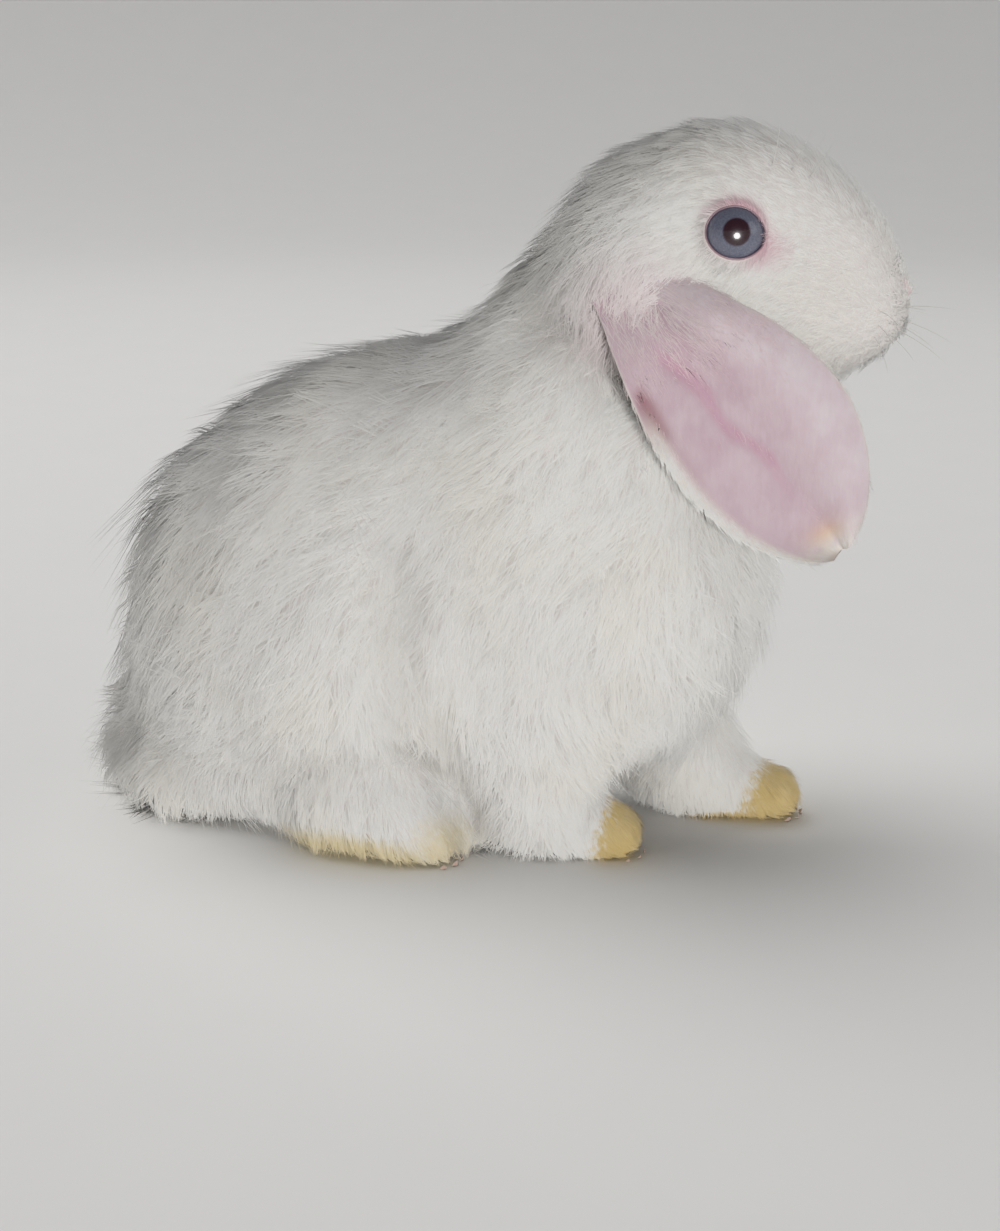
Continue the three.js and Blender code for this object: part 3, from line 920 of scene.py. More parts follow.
# ---- The ears ---------------------------------------------------------------------------------------------
@dataclass
class Ear:
    """One hanging ear: a cupped leaf with its bare inner face turned out to the side."""

    side: Side
    head: HeadAxes
    root: tuple[float, float] = (6, 14)  # forward and up of the head's pivot, in mm as all sizes here
    slope: float = -53.8
    length: float = 71
    width: float = 39.5
    hang: float = 25
    skin: float = 0.8  # half the thickness of the skin
    margin: float = 1.2  # how far the coat's outline stands beyond the skin's rim
    tuck: float = 6.0  # how far the base runs in under the head's coat
    MASKS = ("inner", "rim", "crease", "pocket", "warm", "front")

    def half_width(self, along: np.ndarray) -> np.ndarray:
        """Half the leaf's width at each share of its length."""
        return self.width / 2 * np.sin(math.pi * (0.07 + 0.93 * along**1.35)) ** 0.54

    def place(self, along: np.ndarray, across: np.ndarray, face: np.ndarray) -> np.ndarray:
        """Points of the leaf.

        Args:
            along: 0 at the base and 1 at the tip.
            across: -1 at the rear edge and 1 at the front edge.
            face: How far off the middle of the skin, in mm, out to the side.

        Returns:
            The points in the frame.
        """
        slope = math.radians(self.slope)
        bow = 5.4 * np.sin(math.pi / 2 * np.minimum(1, along * 1.4)) - 1
        hang = self.hang + 3 * np.sin(math.pi / 2 * np.minimum(1, along * 1.8))
        hang = hang - self.tuck * (1 - ease(-0.05, 0.24, along))
        cup = np.where(across < 0, 4.5 * across**2, 2.2 * np.sin(math.pi * across)) - 1.5
        ahead = bow + across * (self.half_width(along) - self.margin)
        down = self.length * along
        forward = self.root[0] + down * math.cos(slope) - ahead * math.sin(slope)
        up = self.root[1] + down * math.sin(slope) + ahead * math.cos(slope)
        left = self.side.value * (hang + cup + face)
        local = np.stack([forward, left, up], axis=-1) * MM
        return np.array(self.head.pivot) + local @ self.head.turn

    def crease(self, along: np.ndarray, across: np.ndarray) -> np.ndarray:
        """How deep the inner face's long crease is, from 0 to 1."""
        line = -0.27 + 0.38 * (along - 0.29) + 0.05 * np.sin(along * 22)
        width = 0.055 + 0.05 * ease(0.5, 0.3, along)
        return np.exp(-(((across - line) / width) ** 2)) * ease(0.14, 0.28, along) * (1 - ease(0.62, 0.8, along))

    def pocket(self, along: np.ndarray, across: np.ndarray) -> np.ndarray:
        """How deep the pocket at the rear edge is, from 0 to 1; shade is painted into it as well."""
        band = np.exp(-(((across + 0.86) / 0.11) ** 2)) * ease(0.24, 0.31, along)
        return band * (1 - 0.65 * ease(0.40, 0.46, along)) * (1 - ease(0.5, 0.68, along))

    def build(self) -> tuple[bpy.types.Mesh, dict[str, np.ndarray]]:
        """The leaf's closed mesh, and what each vertex is as named values."""
        form = bmesh.new()
        bmesh.ops.create_uvsphere(form, u_segments=96, v_segments=72, radius=1)
        mesh = bpy.data.meshes.new("ear")
        form.to_mesh(mesh)
        form.free()
        ball = points_of(mesh)
        ring = np.maximum(np.hypot(ball[:, 0], ball[:, 1]), 1e-6)
        along = 0.5 - 0.5 * ball[:, 2]
        along = 0.985 * along * (1 - 0.25 * (1 - along)) + 0.004
        across, thick = ball[:, 0] / ring, ball[:, 1] / ring
        inner = ease(-0.05, 0.1, thick)
        rim = 1 - ease(0.0, 0.32, np.abs(thick) * np.minimum(1, 7 * (1.0 - along)))
        end = np.minimum(1, np.sqrt(np.maximum(0, 1 - ((along - 0.5) * 2) ** 2)) * 2.5)
        depth = self.skin * (1 + 0.6 * (1 - along))
        crease, pocket = self.crease(along, across) * inner, self.pocket(along, across) * inner
        face = thick * depth * end - np.maximum(crease, pocket) * 0.9
        put_points(mesh, self.place(along, across, face))
        form = bmesh.new()
        form.from_mesh(mesh)
        bmesh.ops.recalc_face_normals(form, faces=form.faces)
        form.to_mesh(mesh)
        form.free()
        warm = np.exp(-(((along - 0.93) / 0.04) ** 2) - ((across + 0.1) / 0.4) ** 2) * inner
        front = ease(0.0, 0.7, across)
        fringe = np.maximum(ease(0.80, 0.93, -across), ease(0.90, 0.97, along)) * ease(0.30, 0.45, along) * inner
        fringe = np.maximum(fringe, 0.35 * ease(0.93, 1.0, across) * inner)
        return mesh, {
            "along": along,
            "across": across,
            "inner": inner,
            "edge": np.maximum(rim, fringe),
            "rim": np.maximum(rim, fringe) * (1 - 0.4 * front),
            "crease": crease,
            "pocket": pocket,
            "warm": warm,
            "front": front,
        }

    def lie(self, leaf: dict[str, np.ndarray]) -> tuple[np.ndarray, np.ndarray, np.ndarray]:
        """How the ear's coat lies.

        Args:
            leaf: What each vertex is.

        Returns:
            The hair's way, its (depth, length, width, cover, blush), and its region.
        """
        along, across, inner, edge, front = (leaf[key] for key in ("along", "across", "inner", "edge", "front"))
        down = self.place(along + 0.02, across, 0) - self.place(along, across, 0)
        out = self.place(along, across + np.sign(across) * 0.02, 0) - self.place(along, across, 0)
        way = unit(down) + unit(out) * ((0.10 + 0.45 * edge * np.abs(across) ** 6) * (1 - 0.6 * front))[:, None]
        base = (1 - ease(0.04, 0.40, along - 0.10 * across)) * (1 - 0.4 * front)
        edge = edge * (1 - base)
        bare = inner * (1 - edge) * (1 - base)
        length = 4.4 + 3.8 * base - 2.0 * bare - 1.2 * edge
        depth = 1.0 + 0.8 * base - 0.75 * bare - 0.3 * edge
        width = 0.36 - 0.12 * base * inner - 0.20 * bare - 0.12 * edge
        cover = (0.42 - 0.34 * bare + 0.75 * edge - 0.1 * base * inner) * ease(0.0, 0.06, along)
        back_rim = np.maximum(ease(0.82, 0.92, np.abs(across)), ease(0.90, 0.95, along))
        cover *= (1 - (1 - inner) * back_rim) * (1 - ease(0.94, 0.97, along))
        blush = inner * (0.75 * bare + 0.40 * base)
        region = np.where(inner > 0.5, Region.EAR_FACES.value, Region.EAR_BACKS.value)
        return way, np.stack([depth * MM, length * MM, width * MM, cover, blush], axis=-1), region


# ---- The skin ---------------------------------------------------------------------------------------------
@dataclass(frozen=True)
class Groove:
    """A furrow in the skin, drawn on a view of it.

    Attributes:
        path: Its points in the view that it is drawn on, in mm as all sizes here.
        depth: How deep it is.
        half: Half its width.
        dusk: How dark the shade painted into it is, from 0 to 1.
    """

    path: tuple[tuple[float, float], ...]
    depth: float
    half: float
    dusk: float = 0.0

    def gap(self, right: np.ndarray, up: np.ndarray) -> np.ndarray:
        """How far points of the view are from the path."""
        nearest = np.full(len(right), np.inf)
        here = np.stack([right, up], axis=-1)
        for start, stop in zip(self.path, self.path[1:]):
            a, run = np.array(start), np.subtract(stop, start)
            share = np.clip((here - a) @ run / (run @ run), 0, 1)
            nearest = np.minimum(nearest, np.linalg.norm(here - a - share[:, None] * run, axis=1))
        return nearest

    def cut(self, right: np.ndarray, up: np.ndarray) -> np.ndarray:
        """The furrow's depth at points of the view, in metres."""
        return self.depth * MM * self.share(right, up)

    def share(self, right: np.ndarray, up: np.ndarray) -> np.ndarray:
        """How far in the furrow points of the view are, 1 at its bottom."""
        return np.exp(-((self.gap(right, up) / self.half) ** 2))


# The body's folds, seen from the side as points ahead and up, each with the shade painted into it.
FOLDS = (
    Groove(((-3, 69), (0, 56), (0, 43), (-2, 33)), 2.4, 5.0, 0.14),  # between haunch and flank
    Groove(((-34, 10), (-28, 20), (-16, 24), (-2, 24)), 2.0, 2.2, 0.16),  # over the hind foot
    Groove(((-2, 27), (4, 22), (8.6, 16.7), (11.5, 11.5), (12.5, 6)), 2.8, 1.7, 0.6),  # ahead of it
    Groove(((18, 119.5), (27, 115), (35, 110), (44, 103.5)), 3.8, 3.4, 0.42),  # under the cheek
    Groove(((13, 9), (8, 22), (5, 36)), 2.2, 3.0, 0.16),  # behind the foreleg
)


def fold_shade(points: np.ndarray) -> np.ndarray:
    """How much shade is painted on the body's folds at points of the frame, from 0 to 1."""
    ahead, out, up = -points[:, 1] / MM, np.abs(points[:, 0]) / MM, points[:, 2] / MM
    shade = np.maximum.reduce([fold.dusk * fold.share(ahead, up) for fold in FOLDS])
    return shade * ease(11, 18, out)


@dataclass
class Skin:
    """One skin for all the flesh, with lids, nose, mouth and toes worked into it."""

    nodes: dict
    head: HeadAxes
    coat: CoatMap
    eyes: list[Eye]
    ears: list[Ear]
    voxel: float = 1.3 * MM
    swell: float = 0.5 * MM  # closes the thin gaps between the solids
    nap: float = 0.85  # the skin's depth under the outline, as a share of the coat's
    toe_spread: float = 24  # degrees between the gaps of the toes
    toe_reach: float = 13  # how far the gaps run from the middle of the toes, in mm
    ORNAMENTS = ("eye_", "ear_", "claw_")
    TOES = ((39.4, -14.5), (66.9, 20.5), (3.4, -32), (3.4, 32))  # ahead and left of each foot's toes
    # Seen from the front, as points out to the side and up, in the head's axes.
    NOSTRIL = Groove(((1.3, 8.0), (2.6, 8.6), (4.4, 10.8)), 1.5, 0.65)
    SPLIT = Groove(((0.0, 8.0), (0.0, 0.5)), 1.7, 0.6)
    MOUTH = Groove(((0.0, 0.5), (2.4, -0.9), (5.2, -1.5)), 1.4, 0.7)

    def flesh(self) -> list[str]:
        """The solids that the skin is made round."""
        return sorted(n for n in self.nodes if not n.startswith(self.ORNAMENTS))

    def shell(self) -> bpy.types.Mesh:
        """One smooth closed mesh round all the flesh's solids and the eyeballs."""
        form = bmesh.new()
        for name in [*self.flesh(), "eye_right", "eye_left"]:
            form.from_mesh(self.nodes[name].data)
        bmesh.ops.remove_doubles(form, verts=form.verts, dist=0.001 * MM)
        form.normal_update()
        for vertex in form.verts:
            vertex.co += vertex.normal * self.swell
        solid = bpy.data.meshes.new("flesh")
        form.to_mesh(solid)
        form.free()
        piece = shown(solid, "flesh", [])
        remesh = piece.modifiers.new("whole", "REMESH")
        remesh.mode = "VOXEL"
        remesh.voxel_size = self.voxel
        mesh = applied(piece)
        self.smooth(mesh, 14)
        return mesh

    def smooth(self, mesh: bpy.types.Mesh, rounds: int) -> None:
        """Relaxes the mesh a number of times."""
        form = bmesh.new()
        form.from_mesh(mesh)
        for _ in range(rounds):
            bmesh.ops.smooth_vert(
                form, verts=form.verts, factor=0.5, use_axis_x=True, use_axis_y=True, use_axis_z=True
            )
        form.to_mesh(mesh)
        form.free()

    def refine(self, mesh: bpy.types.Mesh, chosen: np.ndarray) -> None:
        """Divides the edges between chosen vertices in two."""
        form = bmesh.new()
        form.from_mesh(mesh)
        edges = [e for e in form.edges if chosen[e.verts[0].index] and chosen[e.verts[1].index]]
        bmesh.ops.subdivide_edges(form, edges=edges, cuts=1, use_grid_fill=True, smooth=0.0)
        form.to_mesh(mesh)
        form.free()

    def sink(self, mesh: bpy.types.Mesh) -> None:
        """Lowers the skin under the outline by the coat's depth, and further in the folds."""
        points = points_of(mesh)
        _, sizes, _ = self.coat.read(points)
        ahead, side, up = -points[:, 1] / MM, np.abs(points[:, 0]) / MM, points[:, 2] / MM
        folds = [fold.cut(ahead, up) for fold in FOLDS]
        depth = sizes[:, 0] * self.nap + np.maximum.reduce(folds) * ease(12, 20, side)
        put_points(mesh, points - normals_of(mesh) * depth[:, None])
        self.smooth(mesh, 3)

    def toes(self, mesh: bpy.types.Mesh) -> None:
        """Parts the toes of all four feet with shallow gaps."""
        points = points_of(mesh)
        ahead, left, up = -points[:, 1] / MM, points[:, 0] / MM, points[:, 2] / MM
        depth = np.zeros(len(points))
        for forward, out in self.TOES:
            for turn in (-self.toe_spread, 0, self.toe_spread):
                run = self.toe_reach * np.array([math.cos(math.radians(turn)), math.sin(math.radians(turn))])
                gap = Groove(((forward + run[0] * 0.3, out + run[1] * 0.3), (forward + run[0], out + run[1])), 0.9, 0.7)
                depth = np.maximum(depth, gap.cut(ahead, left))
        depth *= 1 - ease(9, 13, up)
        put_points(mesh, points - normals_of(mesh) * depth[:, None])

    def lids(self, mesh: bpy.types.Mesh) -> None:
        """Works the lids round both eyes."""
        for eye in self.eyes:
            for _ in range(2):
                distance, out, _ = eye.angles(points_of(mesh))
                self.refine(mesh, (distance < eye.radius * 1.6) & (out > 0.6) & (out < 1.6))
            put_points(mesh, eye.wrap(points_of(mesh)))

    def face(self, mesh: bpy.types.Mesh) -> None:
        """Cuts the nostrils, the split lip and the mouth."""
        for _ in range(2):
            forward, _, up = self.head.read(points_of(mesh)).T
            self.refine(mesh, (forward > 55) & (up > -8) & (up < 14))
        points, normals = points_of(mesh), normals_of(mesh)
        forward, side, up = self.head.read(points).T
        front = ease(52, 58, forward)
        cut = np.maximum.reduce([g.cut(np.abs(side), up) for g in (self.NOSTRIL, self.SPLIT, self.MOUTH)])
        pad = 0.7 * MM * np.exp(-((side / 2.4) ** 2 + ((up - 9.2) / 1.6) ** 2))
        put_points(mesh, points + normals * ((pad - cut) * front)[:, None])

    def bare(self, points: np.ndarray) -> np.ndarray:
        """How bare and pink the skin is: on the nose, in the mouth and at the lids."""
        forward, side, up = self.head.read(points).T
        front, side = ease(54, 60, forward), np.abs(side)
        nose = 0.55 * np.exp(-((side / 2.6) ** 2 + ((up - 8.2) / 1.6) ** 2) ** 2)
        lips = 0.5 * np.exp(-((np.minimum(self.SPLIT.gap(side, up), self.MOUTH.gap(side, up)) / 0.9) ** 2))
        nostril = 0.8 * np.exp(-((self.NOSTRIL.gap(side, up) / 1.1) ** 2))
        bare = front * np.maximum.reduce([nose, lips, nostril])
        return np.maximum.reduce([bare, *(eye.flush(points) for eye in self.eyes)])

    def hair(self, mesh: bpy.types.Mesh, bare: np.ndarray) -> tuple[np.ndarray, np.ndarray, np.ndarray]:
        """How the hair grows on the body.

        Args:
            mesh: The skin's mesh.
            bare: How bare it is at each vertex.

        Returns:
            The hair's way, its (depth, length, width, cover, blush), and its region.
        """
        points, normals = points_of(mesh), normals_of(mesh)
        way, sizes, region = self.coat.read(points)
        blush = np.zeros(len(points))
        for eye in self.eyes:
            distance, out, _ = eye.angles(points)
            close = (distance < eye.radius * 2.2) * (1 - ease(1.0, 1.9, out))
            away = flattened(points - eye.middle, unit(np.tile(eye.axes[0], (len(points), 1))))
            way += away * close[:, None] * 0.9
            sizes[:, :3] *= 1 - 0.5 * close[:, None]
            sizes[:, 3] *= np.where((distance < eye.radius * 1.6) & (out < 1.02), 0, 1 + close)
            blush = np.maximum(blush, eye.flush(points))
        for ear in self.ears:
            root = ear.place(np.array([0.08]), np.array([-0.2]), np.array([0.0]))
            gap = np.linalg.norm(points - root, axis=1) / MM
            blush = np.maximum(blush, 0.34 * (1 - ease(5, 19, gap)))
        muzzle = self.head.read(points)[:, 0] > 54
        sizes[:, 3] *= 1 - 0.9 * bare * muzzle
        sizes[:, 3] *= 1 - (normals[:, 2] < -0.75) * (points[:, 2] < 3 * MM)
        sizes[:, 1] *= 1 - 0.5 * fold_shade(points)
        return way, np.column_stack([sizes, blush]), region

    def build(self) -> tuple[bpy.types.Object, Ground]:
        """Makes the skin, and the ground that its coat grows from."""
        mesh = self.shell()
        self.sink(mesh)
        self.lids(mesh)
        self.face(mesh)
        self.toes(mesh)
        bare = self.bare(points_of(mesh))
        way, sizes, region = self.hair(mesh, bare)
        masks = {name: [np.zeros(len(bare))] for name in Ear.MASKS}
        ear_faces = 0
        form = bmesh.new()
        form.from_mesh(mesh)
        for ear in self.ears:
            leaf_mesh, leaf = ear.build()
            form.from_mesh(leaf_mesh)
            ear_way, ear_sizes, ear_region = ear.lie(leaf)
            way, sizes = np.vstack([way, ear_way]), np.vstack([sizes, ear_sizes])
            region = np.append(region, ear_region)
            ear_faces += len(leaf_mesh.polygons)
            for name, columns in masks.items():
                columns.append(leaf[name])
        form.to_mesh(mesh)
        form.free()
        put_values(mesh, "bare", np.append(bare, np.zeros(len(region) - len(bare))))
        # how much shade is painted on the skin in the folds
        put_values(mesh, "shade", fold_shade(points_of(mesh)))
        for name, columns in masks.items():
            put_values(mesh, f"ear_{name}", np.concatenate(columns))
        face = np.arange(len(mesh.polygons))
        mesh.polygons.foreach_set("material_index", (face >= len(face) - ear_faces).astype(np.int32))
        mesh.polygons.foreach_set("use_smooth", np.ones(len(face), bool))
        piece = shown(mesh, "skin", [SkinFinish(Markings()).make(), EarFinish().make()])
        self.unwrap(piece)
        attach(piece, "root")
        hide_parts(*self.flesh(), "ear_right", "ear_left")
        LOG.info("skin: %d faces", len(mesh.polygons))
        return piece, Ground(mesh, way, sizes, region)

    def unwrap(self, piece: bpy.types.Object) -> None:
        """Lays the skin out flat for the coat's map."""
        piece.data.uv_layers.new(name=COAT_MAP)
        bpy.context.view_layer.objects.active = piece
        piece.select_set(True)
        bpy.ops.object.mode_set(mode="EDIT")
        bpy.ops.mesh.select_all(action="SELECT")
        bpy.ops.uv.smart_project(angle_limit=1.15, island_margin=0.002)
        bpy.ops.object.mode_set(mode="OBJECT")


# ---- The coat ---------------------------------------------------------------------------------------------
@dataclass(frozen=True)
class Layer:
    """One layer of the coat.

    Attributes:
        name: The layer's word in the log.
        cover: How many times its tufts cover the skin.
        long: Its hair's length, as a share of the local length.
        rise: The height of its tips over the skin, as a share of the local depth.
        wide: The width of its tufts, as a share of the local width.
        stray: How far a tuft strays from the lie, in radians.
        clump: How far its tips gather into locks, from 0 to 1.
        rings: The heights of the rings that bend its long tufts.
    """

    name: str
    cover: float
    long: float
    rise: float
    wide: float
    stray: float
    clump: float
    rings: tuple[float, ...]


LAYERS = (
    Layer("down", 1.2, 0.80, 0.72, 1.45, 0.28, 0.20, (0.45,)),
    Layer("locks", 2.8, 1.0, 1.05, 1.05, 0.18, 0.55, (0.3, 0.65)),
    Layer("guard", 0.8, 1.55, 1.45, 0.60, 0.28, 0.35, (0.45,)),
)
SHORT_RINGS = (0.45,)


class TuftPattern:
    """The one closed spindle that every tuft repeats: three sides that meet in a point."""

    def __init__(self, heights: tuple[float, ...]) -> None:
        """Cuts a slim cone into rings.

        Args:
            heights: The rings' heights between the root, 0, and the tip, 1.
        """
        form = bmesh.new()
        bmesh.ops.create_cone(form, cap_ends=True, segments=3, radius1=1, radius2=0, depth=1)
        bmesh.ops.translate(form, verts=form.verts, vec=(0, 0, 0.5))
        bmesh.ops.remove_doubles(form, verts=form.verts, dist=1e-4)
        for height in heights:
            geometry = [*form.verts, *form.edges, *form.faces]
            bmesh.ops.bisect_plane(form, geom=geometry, plane_co=(0, 0, height), plane_no=(0, 0, 1))
        bmesh.ops.triangulate(form, faces=form.faces)
        bmesh.ops.recalc_face_normals(form, faces=form.faces)
        points = np.array([v.co for v in form.verts])
        self.height = points[:, 2]
        self.angle = np.arctan2(points[:, 1], points[:, 0])
        self.faces = np.array([[v.index for v in f.verts] for f in form.faces])
        self.patch = self.unwrapped()
        form.free()

    def unwrapped(self) -> np.ndarray:
        """Each face corner's place on the tuft's patch, from 0 to 1: round it and up it."""
        turns = self.angle[self.faces] / (2 * math.pi)
        start = turns[:, :1]
        turns = start + (turns - start + 0.5) % 1 - 0.5
        turns = turns - np.floor(turns.min(1, keepdims=True) + 1e-6)
        heights = self.height[self.faces]
        cap = heights.max(1) < 1e-6
        heights[cap] += np.array([0.0, 0.0, 0.15])
        return np.stack([turns / 2, heights], axis=-1)


@dataclass
class Roots:
    """Where tufts grow, one row each."""

    place: np.ndarray
    normal: np.ndarray
    way: np.ndarray
    sizes: np.ndarray
    region: np.ndarray
    unwrap: np.ndarray

    def only(self, chosen: np.ndarray) -> Roots:
        """The chosen rows."""
        return Roots(*(getattr(self, name)[chosen] for name in self.__dataclass_fields__))


class Ground:
    """A skin's surface, ready to be planted."""

    def __init__(self, mesh: bpy.types.Mesh, way: np.ndarray, sizes: np.ndarray, region: np.ndarray) -> None:
        """Takes the mesh's triangles.

        Args:
            mesh: The skin's mesh, with its unwrap.
            way: The hair's way at each vertex.
            sizes: The hair's depth, length, width, cover and blush at each vertex.
            region: The coat's region at each vertex.
        """
        mesh.calc_loop_triangles()
        count = len(mesh.loop_triangles)
        corners = np.empty(count * 3, np.int32)
        mesh.loop_triangles.foreach_get("loops", corners)
        vertices = np.empty(count * 3, np.int32)
        mesh.loop_triangles.foreach_get("vertices", vertices)
        self.triangles = vertices.reshape(-1, 3)
        flat = np.empty(len(mesh.loops) * 2, np.float32)
        mesh.uv_layers[COAT_MAP].uv.foreach_get("vector", flat)
        self.unwrap = flat.reshape(-1, 2)[corners].reshape(-1, 3, 2)
        self.points = points_of(mesh)
        self.normals = normals_of(mesh)
        self.way, self.sizes, self.region = way, sizes, region
        a, b, c = (self.points[self.triangles[:, k]] for k in range(3))
        self.areas = np.linalg.norm(np.cross(b - a, c - a), axis=1) / 2
        self.tree = BVHTree.FromPolygons(self.points.tolist(), self.triangles.tolist())

    def settled(self, places: np.ndarray, lift: np.ndarray, reach: np.ndarray) -> np.ndarray:
        """Lays places on the skin.

        Args:
            places: The places.
            lift: How high over the skin each one is wanted.
            reach: How far away the skin may be; a place that is farther off stays.

        Returns:
            The nearest points of the skin, lifted off it.
        """
        laid = places.copy()
        for n, (place, high, far) in enumerate(zip(places.tolist(), lift.tolist(), reach.tolist())):
            point, normal, _, _ = self.tree.find_nearest(place, far)
            if point is not None:
                laid[n] = point + normal * high
        return laid

    def plant(self, layer: Layer, draw: np.random.Generator) -> Roots:
        """Spreads a layer's roots evenly, more where the tufts are small.

        Args:
            layer: The layer to plant.
            draw: The source of chance.

        Returns:
            The roots.
        """
        sizes = self.sizes[self.triangles].mean(1)
        reach = 0.6 * sizes[:, 1] * layer.long * sizes[:, 2] * layer.wide
        wanted = np.cumsum(layer.cover * sizes[:, 3] * self.areas / np.maximum(reach, 1e-9))
        marks = np.arange(0.5, wanted[-1]) + draw.uniform(-0.4, 0.4, int(wanted[-1] + 0.5))
        chosen = np.minimum(np.searchsorted(wanted, marks), len(wanted) - 1)
        u, v = draw.random((2, len(chosen)))
        over = u + v > 1
        u[over], v[over] = 1 - u[over], 1 - v[over]
        shares = np.stack([1 - u - v, u, v], axis=1)[..., None]
        corners = self.triangles[chosen]

        def blend(values: np.ndarray) -> np.ndarray:
            """The values at the roots."""
            return (values[corners] * shares).sum(1)

        normal = unit(blend(self.normals))
        return Roots(
            blend(self.points),
            normal,
            flattened(blend(self.way), normal),
            blend(self.sizes),
            self.region[corners[:, 0]],
            (self.unwrap[chosen] * shares).sum(1),
        )


@dataclass
class Coat:
    """The coat's tufts, in one piece for each region and layer."""

    ground: Ground
    material: bpy.types.Material
    sink: float = 0.3 * MM  # how deep a root sits in the skin
    flat: float = 0.45  # a tuft's thickness as a share of its width
    follow: float = 0.86  # how much a tuft is shaded as the skin is, at its root
    follow_tip: float = 0.70  # the same at its tip
    follow_ear: float = 0.5  # and on the backs and rims of the thin ears
    highest: float = 1.7  # the most that a tuft rises, as a share of the coat's depth
    hug: float = 0.6  # how closely the tufts follow the skin's curve
    group: int = 10  # tufts in a lock
    wild: float = 12 * MM  # length from which hair strays freely
    floor: float = 0.15 * MM
    most: int = 190_000  # triangles in one piece
    patterns: dict[tuple[float, ...], TuftPattern] = field(
        default_factory=lambda: {rings: TuftPattern(rings) for rings in {SHORT_RINGS, *(l.rings for l in LAYERS)}}
    )

    def tips(self, roots: Roots, layer: Layer, draw: np.random.Generator) -> tuple[np.ndarray, ...]:
        """Where each tuft goes.

        Args:
            roots: Where they grow.
            layer: The layer that they belong to.
            draw: The source of chance.

        Returns:
            As vectors, the run along the skin, the rise off it, the bend that follows the skin's curve, and the
            pull towards the tuft's lock.
        """
        count = len(roots.place)
        locks = draw.choice(count, max(1, count // self.group), replace=False)
        tree = KDTree(len(locks))
        for n, lock in enumerate(locks):
            tree.insert(roots.place[lock], n)
        tree.balance()
        mine = np.array([tree.find(p)[1] for p in roots.place])
        lock_turn = draw.normal(0, layer.stray * 1.2, len(locks))[mine]
        lock_size = draw.normal(1, 0.12, len(locks))[mine]
        lock_rise = draw.normal(1, 0.18, len(locks))[mine]
        turn = (lock_turn + draw.normal(0, layer.stray, count)) * np.clip(roots.sizes[:, 1] / self.wild, 0.45, 1.1)
        across = np.cross(roots.normal, roots.way)
        way = roots.way * np.cos(turn)[:, None] + across * np.sin(turn)[:, None]
        length = roots.sizes[:, 1] * layer.long * lock_size * draw.uniform(0.75, 1.15, count)
        rise = roots.sizes[:, 0] * layer.rise * lock_rise * draw.uniform(0.7, 1.2, count)
        rise = np.clip(rise, 0, np.minimum(length * 0.9, roots.sizes[:, 0] * self.highest))
        run = np.sqrt(length**2 - rise**2)
        steps = way * run[:, None]
        lifts = roots.normal * rise[:, None]
        loose = roots.place + steps + lifts
        bend = (self.ground.settled(roots.place + steps, rise, length * 0.6) - loose) * self.hug
        bend[np.linalg.norm(bend, axis=1) > length * 0.7] = 0
        end = loose + bend
        pull = (end[locks[mine]] - end) * layer.clump
        limit = roots.sizes[:, 1] * 0.35
        strength = np.linalg.norm(pull, axis=1)
        pull *= np.minimum(1, limit / np.maximum(strength, 1e-9))[:, None]
        return steps, lifts, bend, pull

    def tufts(
        self, roots: Roots, layer: Layer, pattern: TuftPattern, draw: np.random.Generator, name: str
    ) -> bpy.types.Mesh:
        """Joins one tuft for each root into a mesh.

        Args:
            roots: Where they grow.
            layer: The layer that they belong to.
            pattern: The shape that they repeat.
            draw: The source of chance.
            name: The mesh's name.

        Returns:
            The mesh.
        """
        steps, lifts, bend, pull = (vectors[:, None] for vectors in self.tips(roots, layer, draw))
        count, size = len(roots.place), len(pattern.height)
        s = pattern.height[None, :, None]
        line = (roots.place - roots.normal * self.sink)[:, None] + steps * (0.6 * s + 0.4 * s**2)
        line = line + lifts * (1.6 * s - 0.6 * s**2) + bend * s**2 + pull * s**1.6
        run = steps * (0.6 + 0.8 * s) + lifts * (1.6 - 1.2 * s) + bend * 2 * s + pull * 1.6 * s**0.6
        side = unit(np.cross(roots.normal[:, None], run))
        top = unit(np.cross(run, side))
        spread = np.clip(1 - s**2.2, 0, 1) * (0.55 + 0.9 * np.minimum(s, 0.3) / 0.3 * 0.5)
        wide = (roots.sizes[:, 2] * layer.wide * draw.uniform(0.7, 1.25, count) / 2)[:, None, None]
        angle = pattern.angle[None, :, None]
        ring = side * np.cos(angle) + top * np.sin(angle) * self.flat
        points = line + ring * wide * spread
        points[..., 2] = np.maximum(points[..., 2], self.floor * (1 + s[..., 0]))
        round_about = unit(side * np.cos(angle) * self.flat + top * np.sin(angle))
        follow = self.follow + (self.follow_tip - self.follow) * s
        on_ear = (roots.region == Region.EAR_BACKS.value)[:, None, None]
        follow = np.where(on_ear, self.follow_ear, follow)
        normals = unit(roots.normal[:, None] * follow + round_about * (1 - follow))
        faces = (pattern.faces[None] + np.arange(count)[:, None, None] * size).reshape(-1, 3)
        patch = roots.unwrap[:, None, None] + (pattern.patch[None] - 0.5) * PATCH
        tone = np.repeat(draw.random(count), size)
        mesh = joined(name, points.reshape(-1, 3), faces)
        uv = mesh.uv_layers.new(name=COAT_MAP, do_init=False)
        uv.uv.foreach_set("vector", patch.astype(np.float32).ravel())
        put_values(mesh, "along", np.tile(pattern.height, count))
        put_values(mesh, "tone", tone)
        put_values(mesh, "blush", np.repeat(roots.sizes[:, 4], size))
        # how much shade is painted on each tuft where it crosses a fold
        put_values(mesh, "shade", fold_shade(points.reshape(-1, 3)))
        own = mesh.attributes.new("custom_normal", "FLOAT_VECTOR", "POINT")
        own.data.foreach_set("vector", normals.astype(np.float32).ravel())
        return mesh

